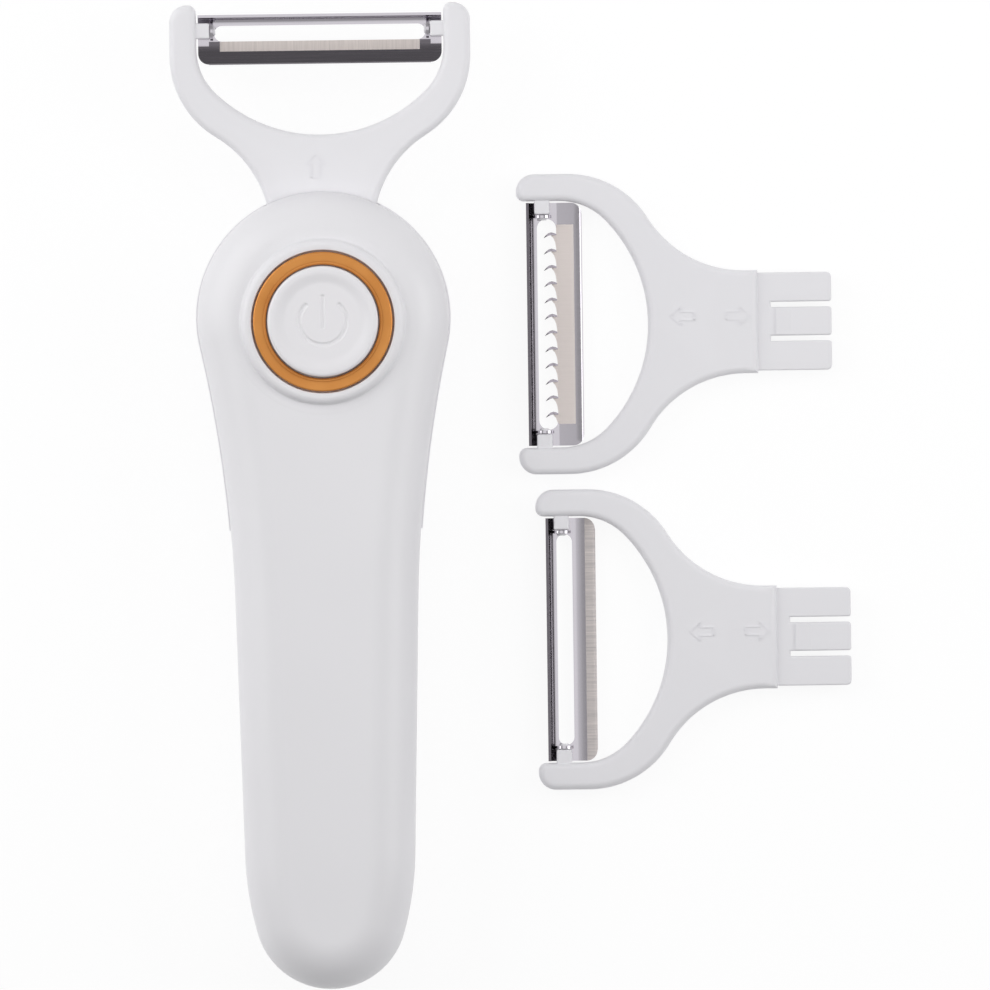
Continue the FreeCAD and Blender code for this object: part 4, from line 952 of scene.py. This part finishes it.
@dataclass
class PowerButton:
    """Dished button with the power mark sunk in its middle."""

    radius: float = 12.15
    top: float = 32.6
    dish_depth: float = 0.6
    mark_radius: float = 5.15
    mark_wide: float = 0.4
    mark_depth: float = 0.28
    mark_soft: float = 0.42
    gap_degrees: float = 46.0
    mark_field: float = 8.22
    slope_wide: float = 2.7

    def mark(self, x: float, y: float) -> float:
        """How deep the power mark is sunk at a point, 0 to 1."""
        ring = abs(math.hypot(x, y) - self.mark_radius)
        turn = abs(math.degrees(math.atan2(x, y)))
        if turn < self.gap_degrees:
            edge = math.radians(self.gap_degrees)
            ring = min(math.hypot(x - self.mark_radius * math.sin(edge) * sign,
                                  y - self.mark_radius * math.cos(edge)) for sign in (-1, 1))
        bar = math.hypot(x, max(0.0, y - 5.4, -1.2 - y))
        near = min(ring, bar)
        share = min(1.0, max(0.0, (self.mark_wide - near) / self.mark_soft + 0.5))
        return share * share * (3 - 2 * share)

    def build(self) -> Piece:
        """Make the cap with a fine top, so that the mark is real relief."""
        sides, core, steps = 288, 0.02, 72
        floor = self.top - self.dish_depth
        profile = [(core + (self.mark_field - core) * step / steps, floor)
                   for step in range(steps + 1)]
        marked = len(profile)
        for step in range(1, 13):
            share = step / 12
            ease = share * share * (3 - 2 * share)
            profile.append((self.mark_field + self.slope_wide * share,
                            floor + self.dish_depth * ease))
        profile += arc_points((self.radius - 0.8, self.top - 0.8), 0.8, 90, 0, 8)
        # the skirt, the hollow under the cap and the stem that meets the plunger
        profile += [(self.radius, 26.5), (13.35, 26.5), (13.35, 25.3), (10.55, 25.3),
                    (10.55, 30.4), (2.2, 30.4), (2.2, 28.4), (core, 28.4)]
        stack = []
        for index, (radius, height) in enumerate(profile):
            loop = []
            for side in range(sides):
                angle = math.tau * side / sides
                x, y = radius * math.sin(angle), radius * math.cos(angle)
                sunk = self.mark_depth * self.mark(x, y) if index < marked else 0.0
                loop.append((x, y, height - sunk))
            stack.append(loop)
        points, faces = stack_loops(stack)
        faces.append(tuple(range(sides)))
        last = (len(stack) - 1) * sides
        faces.append(tuple(range(last, last + sides)))
        cap = new_piece("button_cap", points, faces, Palette.BUTTON)
        orient(cap)
        smooth_edges(cap, 50)
        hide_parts("power_button")
        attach(cap, "button")
        return cap


# heads

class HeadKind(Enum):
    """The three heads of the set."""

    FITTED = "fitted"
    TOOTHED = "toothed"
    PLAIN = "plain"


@dataclass
class PeelerHead:
    """A forked frame with its swivel blade."""

    kind: HeadKind
    place: Matrix
    frame_node: str
    blade_node: str
    frame_body: str
    blade_body: str
    back_y: float = 7.15
    slot_back: float = 2.3
    ground_wide: float = 2.2
    pivot_y: float = 23.1
    slot_half: float = 23.25
    slot_front: float = 1.15
    web: float = -1.75
    steel: float = 0.6
    blade_half: float = 26.8
    ground_half: float = 22.0
    fork_thick: float = 6.0
    fork_round: float = 1.5
    tang_thick: float = 3.4
    neck_half: float = 11.35
    slit_middle: float = 3.74
    slit_half: float = 0.6
    tooth_pitch: float = 3.6
    tooth_count: int = 12
    marks: list[list[Point]] = field(default_factory=list)

    def outline(self) -> list[Point]:
        """Outline of the fork and neck about the bottom of the fork, clockwise."""
        side_x, side_r, fork = 13.2, 14.0, 33.0
        side_y = fork - math.sqrt((fork - side_r) ** 2 - side_x ** 2)
        meet = math.degrees(math.atan2(side_y - fork, side_x))
        inner = arc_points((0, fork), fork, -90, meet, 20)
        inner += arc_points((side_x, side_y), side_r, meet, 0, 16)[1:]
        tip = arc_points((27.2 + 1.75, 28.8 - 1.75), 1.75, 180, 90, 6)
        tip += arc_points((33.1 - 3.9, 28.8 - 3.9), 3.9, 90, 0, 12)
        outer_x, shoulder, flare_y = 12.3, 20.8, -21.3
        rise, gap = 17.5 - flare_y, self.neck_half - outer_x
        flare = (rise ** 2 + gap ** 2 - shoulder ** 2) / (2 * (shoulder - gap))
        flare_x = self.neck_half + flare
        bend = math.degrees(math.atan2(flare_y - 17.5, flare_x - outer_x))
        outer = arc_points((outer_x, 17.5), shoulder, 0, bend, 18)
        outer += arc_points((flare_x, flare_y), flare, 180 + bend, 180, 18)[1:]
        foot = [(self.neck_half, -24.2), (0.0, -24.2)]
        half = inner + tip + outer + foot
        half[0] = (0.0, 0.0)
        return mirror_closed(half)

    def tang_outline(self) -> list[Point]:
        """Outline of the slit tang."""
        inner, outer = self.slit_middle - self.slit_half, self.slit_middle + self.slit_half
        end = -40.5
        half = [(0.0, -23.0), (10.8, -23.0)]
        half += arc_points((10.8 - 1.1, end + 1.1), 1.1, 0, -90, 6)
        half += arc_points((outer + 0.6, end + 0.6), 0.6, -90, -180, 4)
        half += [(outer, -27.1), (inner, -27.1)]
        half += arc_points((inner - 0.6, end + 0.6), 0.6, 0, -90, 4)
        half += [(0.0, end)]
        return mirror_closed(half)

    def moulding(self) -> Piece:
        """The whole plastic frame: fork, tang, snap ramp, lugs and pins."""
        tag = self.kind.value
        fork = RoundedPlate(self.outline(), self.fork_thick, self.fork_round).build(
            tag + "_fork", Palette.FRAME)
        tang = RoundedPlate(self.tang_outline(), self.tang_thick, 0.35, steps=3).build(
            tag + "_tang", Palette.FRAME)
        points, sides = stack_loops([
            [(-2.9, -31.5, low), (2.9, -31.5, low), (2.9, -28.3, high), (-2.9, -28.3, high)]
            for low, high in ((1.5, 1.5), (1.7, 2.15))])
        ramp = new_piece(tag + "_ramp", points, [(0, 3, 2, 1), (4, 5, 6, 7)] + sides,
                         Palette.FRAME, smooth=False)
        pieces = [fork, tang, ramp]
        for side in (-1, 1):
            low, high = sorted((24.2 * side, 28.4 * side))
            pieces.append(block(tag + "_lug", (low, self.pivot_y - 1.7, -0.95),
                                (high, self.pivot_y + 1.7, 2.0), Palette.FRAME, 0.45))
            pieces.append(self.pin(side))
        for piece in pieces:
            smooth_edges(piece, 35)
        moulding = join(self.frame_node + "_moulding", pieces)
        moulding.data.transform(self.place)
        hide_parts(self.frame_node)
        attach(moulding, self.frame_body)
        return moulding

    def pin(self, side: int) -> Piece:
        """The swivel pin of one lug."""
        pin = revolve("pin", [(0, 22.95), (0.85, 22.95), (1.0, 23.1), (1.0, 24.6), (0, 24.6)],
                      Palette.FRAME, 32)
        pin.data.transform(Matrix.Rotation(math.radians(90 * side), 4, "Y"))
        pin.data.transform(Matrix.Translation((0, self.pivot_y * MM, 0)))
        return pin

    def section(self) -> list[Point]:
        """Inside line of the blade's section, tip wall first, with soft bends."""
        web, rise = self.web, 1.0
        rough = [(2.9, 1.6), (2.72, -1.05), (2.45, -1.5), (1.9, web), (self.slot_front, web),
                 (-self.slot_back, web), (-3.3, web), (-self.slot_back - self.ground_wide, None),
                 (-self.back_y + 0.45, None), (-self.back_y, web + rise + 0.12)]
        slope = rise / (self.back_y - 3.3)
        line = []
        for y, z in rough:
            line.append((y, web + max(0.0, -3.3 - y) * slope if z is None else z))
        return sorted(set(line), key=lambda p: (-p[0], p[1] if p[0] < 2.8 else -p[1]))

    def strip(self) -> Piece:
        """The stamped blade before it is moved to its place."""
        half, ground = self.blade_half, self.ground_half
        stations = [-half, -half + 1.2, -half + 2.4, -ground]
        stations += [-ground + ground * 2 * step / 20 for step in range(1, 20)]
        stations += [ground, half - 2.4, half - 1.2, half]
        line = self.section()
        points = [(x, y, z) for x in stations for y, z in line]
        size = len(line)
        faces = []
        for row in range(len(stations) - 1):
            for index in range(size - 1):
                here = row * size + index
                faces.append((here, here + 1, here + 1 + size, here + size))
        blade = new_piece(self.blade_node + "_strip", points, faces, Palette.STEEL)
        # slot 1 is the ground steel, lighter with painted light on the spares; slot 2 is the
        # painted shade steel
        for extra in (Palette.GROUND if self.kind is HeadKind.FITTED else Palette.GROUND_SPARE,
                      Palette.DARK_STEEL, Palette.SATIN):
            blade.data.materials.append(extra.material())
        for face in blade.data.polygons:
            face.material_index = self.zone(face.center.x / MM, face.center.y / MM)
        with open_mesh(blade) as build:
            bmesh.ops.recalc_face_normals(build, faces=build.faces)
            centre = [f for f in build.faces if abs(f.calc_center_median().y) < 1e-3]
            if centre and centre[0].normal.z < 0:
                bmesh.ops.reverse_faces(build, faces=build.faces)
        thick = blade.modifiers.new("steel", "SOLIDIFY")
        thick.thickness = self.steel * MM
        thick.offset = -1.0
        thick.use_even_offset = True
        apply_modifiers(blade)
        cut_with(blade, [self.slot_cutter()] + self.corner_cutters())
        return blade

    def zone(self, x: float, y: float) -> int:
        """Which finish a place of the blade has.

        Args:
            x: place along the blade.
            y: place across it.

        Returns:
            0 polished, 1 ground, 2 painted shade or 3 satin.
        """
        limit, ground = -self.slot_back - self.ground_wide, self.ground_half
        strip = abs(x) < ground and limit < y < -self.slot_back + 0.01
        if self.kind is HeadKind.FITTED:
            if strip:
                return 1
            # painted shade below the ground strip; past the ends of the ground strip the painted
            # shade climbs, less so beside the ears
            step = -1.0 if abs(x) < 24.3 else -3.35
            return 2 if y < limit or (abs(x) > ground and y < step) else 0
        # on the spares the tip wall is painted shade
        if y > 1.9:
            return 2
        if self.kind is HeadKind.TOOTHED:
            return 1 if strip else 0
        return 3 if y < limit else 0

    def slot_cutter(self) -> Piece:
        """The obround block that opens the cutting slot."""
        radius = (self.slot_front + self.slot_back) / 2
        middle = (self.slot_front - self.slot_back) / 2
        reach = self.slot_half - radius
        loop = arc_points((reach, middle), radius, 90, -90, 12)
        loop += arc_points((-reach, middle), radius, 270, 90, 12)
        return prism("slot_cutter", loop, -4, 0, Palette.STEEL)

    def corner_cutters(self) -> list[Piece]:
        """Blocks that round the two corners on the handle side."""
        half, radius, edge = self.blade_half, 2.4, -self.back_y - 0.2
        right = arc_points((half - radius, edge + radius), radius, -90, 0, 10)
        right += [(half + 2, edge + radius), (half + 2, edge - 2), (half - radius, edge - 2)]
        return [prism("corner_cutter", [(x * side, y) for x, y in right], -5, 3, Palette.STEEL)
                for side in (-1, 1)]

    def ear(self, side: int) -> Piece:
        """The bent up ear with the hole that turns on the pin."""
        outer = [(-2.1, -1.85), (1.8, -1.85), (2.1, -1.25)] + arc_points((0, 0), 2.1, 0, 180, 20)
        ear = prism("ear", outer, 23.45, 24.05, Palette.STEEL)
        hole = revolve("ear_hole", [(0, 22), (1.06, 22), (1.06, 26), (0, 26)], Palette.STEEL, 32)
        orient(ear)
        cut_with(ear, [hole])
        turn = Matrix(((0, 0, side, 0), (1, 0, 0, 0), (0, 1, 0, 0), (0, 0, 0, 1)))
        ear.data.transform(turn)
        orient(ear)
        return ear

    def claw(self) -> Piece:
        """One tooth: a ramped piece of the strip and the hooked fin bent up at its end."""
        web = self.web
        ramp = [(1.8, -0.1), (1.8, 1.05), (1.55, 1.1), (0.9, 0.55), (0.0, 0.22), (-1.0, 0.06),
                (-1.8, 0.0), (-1.8, -0.1)]
        # the ramp takes the lighter ground steel of the spares, painted light
        # its top lies a hair under the strip's, so that the two never share a plane
        plate = prism("claw", ramp, web - self.steel, web - 0.012, Palette.GROUND_SPARE, False)
        plate.data.transform(Matrix.Translation((-self.tooth_pitch / 2 * MM, 0, 0)))
        orient(plate)
        # each station: place along and across, half width, top and bottom over the web
        line = [(0.0, 0.0, 0.16, 0.02, -0.6), (0.12, 0.5, 0.26, 0.25, -0.6),
                (0.2, 1.1, 0.31, 0.7, -0.45), (0.05, 1.7, 0.29, 1.1, -0.2),
                (-0.3, 2.25, 0.2, 1.35, 0.25), (-0.75, 2.75, 0.04, 1.45, 0.9)]
        points, sides = stack_loops([
            [(x - half, y, web + low), (x + half, y, web + low), (x + half, y, web + top),
             (x - half, y, web + top)] for x, y, half, top, low in line])
        last = len(points) - 4
        caps = [(0, 1, 2, 3), (last, last + 3, last + 2, last + 1)]
        # the fin takes the dark steel copy: painted shade on the bent tooth
        fin = new_piece("fin", points, caps + sides, Palette.DARK_STEEL, smooth=False)
        orient(fin)
        return join("claw", [plate, fin])

    def teeth(self) -> Piece:
        """Row of claws along the slot."""
        tooth = self.claw()
        start = self.tooth_pitch * (self.tooth_count - 1) / 2
        form = NodeForm("claw_row_form", [
            ("Claw", "NodeSocketObject", tooth), ("Count", "NodeSocketInt", self.tooth_count),
            ("Start", "NodeSocketVector", (-start * MM, -self.slot_back * MM, 0)),
            ("Step", "NodeSocketVector", (self.tooth_pitch * MM, 0, 0))])
        shape = add_node(form.tree, "GeometryNodeObjectInfo", links={"Object": form.input("Claw")})
        form.finish(rows_of(form, shape.outputs["Geometry"]), None)
        row = form.grow("claw_row")
        bpy.data.objects.remove(tooth)
        return row

    def blade(self) -> Piece:
        """The finished blade at its place."""
        pieces = [self.strip(), self.ear(-1), self.ear(1)]
        if self.kind is HeadKind.TOOTHED:
            pieces.append(self.teeth())
        for piece in pieces:
            smooth_edges(piece, 28)
        blade = join(self.blade_node + "_steel", pieces)
        move = self.place @ Matrix.Translation((0, self.pivot_y * MM, 0))
        blade.data.transform(move)
        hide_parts(self.blade_node)
        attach(blade, self.blade_body)
        return blade

    def arrows(self) -> Optional[Piece]:
        """Raised outline arrows on the neck."""
        if not self.marks:
            return None
        routes = [[(x, y, 3.0) for x, y in route] for route in self.marks]
        raised = ribbon(self.kind.value + "_arrows", routes, 0.3, 0.36, Palette.FRAME)
        raised.data.transform(self.place)
        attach(raised, self.frame_body)
        return raised

    def build(self) -> list[Piece]:
        """Make every piece of the head."""
        made = [self.moulding(), self.blade(), self.arrows()]
        return [piece for piece in made if piece]


def arrow(x: float, y: float, up: bool) -> list[Point]:
    """A closed outline arrow about a point."""
    way = 1 if up else -1
    shape = [(-0.9, -2.4), (-0.9, 0.6), (-2.1, 0.6), (0, 2.8), (2.1, 0.6), (0.9, 0.6), (0.9, -2.4),
             (-0.9, -2.4)]
    return [(x + px, y + py * way) for px, py in shape]


# inside of the handle

@dataclass
class InnerWorks:
    """Motor, board, tray, cells and screws, carried over and dressed."""

    table: dict[str, Palette] = field(default_factory=lambda: {
        "battery_tray": Palette.INNER, "switch_board": Palette.BOARD,
        "power_switch": Palette.BLACK, "switch_plunger": Palette.BLACK,
        "head_socket": Palette.INNER, "motor_can": Palette.PLATE, "motor_end_cap": Palette.BLACK,
        "motor_shaft": Palette.ZINC, "eccentric_weight": Palette.BRASS,
        "motor_clamp": Palette.ZINC, "battery_cell_1": Palette.CELL,
        "battery_cell_2": Palette.CELL, "front_contacts": Palette.PLATE,
        "bridge_contact": Palette.PLATE, "tray_screws": Palette.ZINC,
        "board_screws": Palette.ZINC, "clamp_screws": Palette.ZINC})

    def body_of(self, node: str) -> str:
        """The body that a node rides on."""
        bodies = frame["record"]["behaviour"]["bodies"]
        return next(body for body, nodes in bodies.items() if node in nodes)

    def build(self) -> list[Piece]:
        """Dress every inner node and make the springs and screw heads."""
        made = []
        for node, finish in self.table.items():
            piece = copy_node(node, node + "_dressed", finish)
            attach(piece, self.body_of(node))
            made.append(piece)
        made.append(self.spring("rear_spring", 7.4, -106.0, -101.1, 4.2, 2.6))
        made.append(self.spring("front_spring", -7.4, -50.5, -55.3, 4.2, 2.6))
        made.append(self.shell_screws())
        return made

    def spring(self, node: str, x: float, foot: float, tip: float, wide: float,
               narrow: float) -> Piece:
        """A conical contact spring made from a spiral.

        Args:
            node: the node it stands for.
            x: sideways place.
            foot: where its wide end sits.
            tip: where it touches the cell.
            wide: radius at the foot.
            narrow: radius at the tip.

        Returns:
            The spring.
        """
        form = NodeForm(node + "_form", [
            ("Turns", "NodeSocketFloat", 4.5), ("Foot radius", "NodeSocketFloat", wide * MM),
            ("Tip radius", "NodeSocketFloat", narrow * MM),
            ("Length", "NodeSocketFloat", (abs(tip - foot) - 0.8) * MM),
            ("Wire", "NodeSocketFloat", 0.4 * MM)])
        coil = add_node(form.tree, "GeometryNodeCurveSpiral", {"in:Resolution": 28}, {
            "Rotations": form.input("Turns"), "Start Radius": form.input("Foot radius"),
            "End Radius": form.input("Tip radius"), "Height": form.input("Length")})
        wire = add_node(form.tree, "GeometryNodeCurvePrimitiveCircle", {"in:Resolution": 8}, {
            "Radius": form.input("Wire")})
        body = add_node(form.tree, "GeometryNodeCurveToMesh", {"in:Fill Caps": True}, {
            0: coil.outputs[0], "Profile Curve": wire.outputs[0]})
        form.finish(body.outputs[0], Palette.PLATE.material())
        spring = form.grow(node + "_coil")
        way = 1 if tip > foot else -1
        turn = Matrix.Rotation(math.radians(-90 * way), 4, "X")
        start = Matrix.Translation((x * MM, (foot + 0.4 * way) * MM, 9.75 * MM))
        spring.data.transform(start @ turn)
        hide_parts(node)
        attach(spring, "handle")
        return spring

    def shell_screws(self) -> Piece:
        """Four cross recessed screws in the back shell."""
        profile = [(0, 4.3), (1.9, 4.3), (2.35, 4.6), (2.5, 5.2), (2.5, 6.0), (1.25, 6.0),
                   (1.25, 21.0), (0.6, 21.5), (0, 21.5)]
        single = revolve("screw", profile, Palette.ZINC, 32)
        long, thin = 1.3, 0.28
        cut_with(single, [block("recess", (-x, -y, 4.0), (x, y, 5.2), Palette.ZINC)
                          for x, y in ((long, thin), (thin, long))])
        smooth_edges(single, 30)
        points = bpy.data.meshes.new("screw_places")
        points.from_pydata([(x * MM, y * MM, 0) for x, y in SCREW_PLACES], [], [])
        form = NodeForm("shell_screw_form", [("Screw", "NodeSocketObject", single)])
        shape = add_node(form.tree, "GeometryNodeObjectInfo", links={"Object": form.input("Screw")})
        copies = add_node(form.tree, "GeometryNodeInstanceOnPoints", links={
            "Points": form.input("Geometry"), "Instance": shape.outputs["Geometry"]})
        form.finish(copies.outputs[0], Palette.ZINC.material())
        screws = form.grow("shell_screw_set", points)
        bpy.data.objects.remove(single)
        smooth_edges(screws, 30)
        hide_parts("shell_screws")
        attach(screws, "handle")
        return screws


# studio

@dataclass
class Studio:
    """Pale floor, soft light and the camera straight above."""

    pixels: int = 990
    mm_per_pixel: float = 0.22
    button_pixel: Point = (323.4, 322.2)
    roll: float = -0.75
    camera_height: float = 4.0
    focus_height: float = 0.015
    sensor: float = 36.0

    def floor(self) -> Piece:
        """A wide white floor that keeps a light shadow."""
        half, level = 4000.0, -0.05
        corners = [(-half, -half, level), (half, -half, level), (half, half, level),
                   (-half, half, level)]
        floor = new_piece("studio_floor", corners, [(0, 1, 2, 3)], Palette.SHELL, smooth=False)
        material = bpy.data.materials.new("studio_paper")
        material.use_nodes = True
        tree = material.node_tree
        tree.nodes.clear()
        paper = add_node(tree, "ShaderNodeBsdfDiffuse", {"in:Color": to_linear("F4F4F5")})
        glow = add_node(tree, "ShaderNodeEmission", {"in:Color": WHITE, "in:Strength": 1.035})
        rays = add_node(tree, "ShaderNodeLightPath")
        first = add_node(tree, "ShaderNodeMath", {"operation": "MAXIMUM"}, {
            0: rays.outputs["Is Camera Ray"], 1: rays.outputs["Is Glossy Ray"]})
        seen = add_node(tree, "ShaderNodeMath", {"operation": "MAXIMUM"}, {
            0: first.outputs[0], 1: rays.outputs["Is Transmission Ray"]})
        share = add_node(tree, "ShaderNodeMath", {"operation": "MULTIPLY", "in:1": 0.86},
                         {0: seen.outputs[0]})
        mix = add_node(tree, "ShaderNodeMixShader", links={
            0: share.outputs[0], 1: paper.outputs[0], 2: glow.outputs[0]})
        add_node(tree, "ShaderNodeOutputMaterial", links={"Surface": mix.outputs[0]})
        floor.data.materials.clear()
        floor.data.materials.append(material)
        return floor

    def world(self) -> None:
        """Soft even light, white where the camera sees it."""
        world = bpy.data.worlds.new("studio_air")
        bpy.context.scene.world = world
        world.use_nodes = True
        tree = world.node_tree
        tree.nodes.clear()
        dim = add_node(tree, "ShaderNodeBackground", {"in:Color": WHITE, "in:Strength": 0.33})
        way = add_node(tree, "ShaderNodeTexCoord").outputs["Generated"]
        apart = add_node(tree, "ShaderNodeSeparateXYZ", links={"Vector": way})
        # a bright panel straight above and a dark room lower down give steel its contrast
        panel = add_node(tree, "ShaderNodeMapRange", {
            "in:From Min": 0.9, "in:From Max": 0.975, "in:To Min": 0.42, "in:To Max": 0.98},
            {"Value": apart.outputs["Z"]})
        seen = add_node(tree, "ShaderNodeBackground", {"in:Color": WHITE},
                        {"Strength": panel.outputs[0]})
        white = add_node(tree, "ShaderNodeBackground", {"in:Color": WHITE, "in:Strength": 1.0})
        rays = add_node(tree, "ShaderNodeLightPath")
        soft = add_node(tree, "ShaderNodeMixShader", links={
            0: rays.outputs["Is Glossy Ray"], 1: dim.outputs[0], 2: seen.outputs[0]})
        mix = add_node(tree, "ShaderNodeMixShader", links={
            0: rays.outputs["Is Camera Ray"], 1: soft.outputs[0], 2: white.outputs[0]})
        add_node(tree, "ShaderNodeOutputWorld", links={"Surface": mix.outputs[0]})

    def lamp(self, name: str, place: Sequence[float], size: float, power: float) -> Piece:
        """A square soft lamp that faces the middle of the handle."""
        data = bpy.data.lights.new(name, "AREA")
        data.size = size
        data.energy = power
        lamp = bpy.data.objects.new(name, data)
        bpy.context.collection.objects.link(lamp)
        lamp.location = place
        aim = Vector((0.02, -0.02, 0.0)) - Vector(place)
        lamp.rotation_euler = aim.to_track_quat("-Z", "Y").to_euler()
        return lamp

    def camera(self) -> None:
        """The camera straight above, rolled by the tilt of the peeler in the picture."""
        data = bpy.data.cameras.new("camera")
        data.sensor_width = self.sensor
        wide = self.pixels * self.mm_per_pixel * MM
        data.lens = self.sensor * (self.camera_height - self.focus_height) / wide
        data.clip_end = 20
        camera = bpy.data.objects.new("camera", data)
        bpy.context.collection.objects.link(camera)
        turn = math.radians(self.roll)
        scale = self.mm_per_pixel * MM
        right = (self.pixels / 2 - self.button_pixel[0]) * scale
        down = (self.pixels / 2 - self.button_pixel[1]) * scale
        x = right * math.cos(turn) + down * math.sin(turn)
        y = right * math.sin(turn) - down * math.cos(turn)
        camera.location = (x, y, self.camera_height)
        camera.rotation_euler = (0, 0, turn)
        bpy.context.scene.camera = camera

    def build(self) -> None:
        """Set up everything that isn't the object."""
        self.floor()
        self.world()
        # the overhead lamp isn't mirrored, since flat steel would only show it as white
        self.lamp("key_lamp", (0.1, 0.12, 0.4), 0.5, 0.56).visible_glossy = False
        self.lamp("side_lamp", (0.75, 0.05, 0.45), 0.5, 1.9)
        self.lamp("fill_lamp", (-0.75, 0.3, 0.45), 0.9, 4.6)
        self.camera()
        bpy.context.scene.view_settings.view_transform = "Standard"


def spare_place(x: float, y: float) -> Matrix:
    """Place of a spare head that lies with its blade to the left."""
    return Matrix.Translation((x * MM, y * MM, 3.0 * MM)) @ Matrix.Rotation(math.pi / 2, 4, "Z")


def main() -> None:
    """Build the dressed peeler, its spare heads and the studio, and report each piece."""
    logging.basicConfig(level=logging.INFO, format="%(name)s %(message)s")
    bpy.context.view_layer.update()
    heads = [
        PeelerHead(HeadKind.FITTED, Matrix.Translation((0, 41.25 * MM, 15 * MM)), "head_frame",
                   "head_blade", "fitted_head", "fitted_blade", marks=[arrow(-1.3, -7.1, True)]),
        PeelerHead(HeadKind.TOOTHED, spare_place(71.5, -1.0), "toothed_spare_frame",
                   "toothed_spare_blade", "toothed_spare", "toothed_blade", back_y=8.5,
                   slot_back=3.1, ground_wide=3.8,
                   marks=[arrow(1.4, -7.8, True), arrow(1.4, -19.6, False)]),
        PeelerHead(HeadKind.PLAIN, spare_place(74.9, -70.6), "plain_spare_frame",
                   "plain_spare_blade", "plain_spare", "plain_blade", ground_wide=2.8,
                   marks=[arrow(1.4, -7.8, True), arrow(1.4, -19.6, False)]),
    ]
    pieces = Handle().build()
    pieces += [TrimRing().build(), PowerButton().build()]
    for head in heads:
        pieces += head.build()
    pieces += InnerWorks().build()
    Studio().build()
    for piece in pieces:
        LOG.info("%s: %d faces", piece.name, len(piece.data.polygons))


if __name__ == "__main__":
    main()
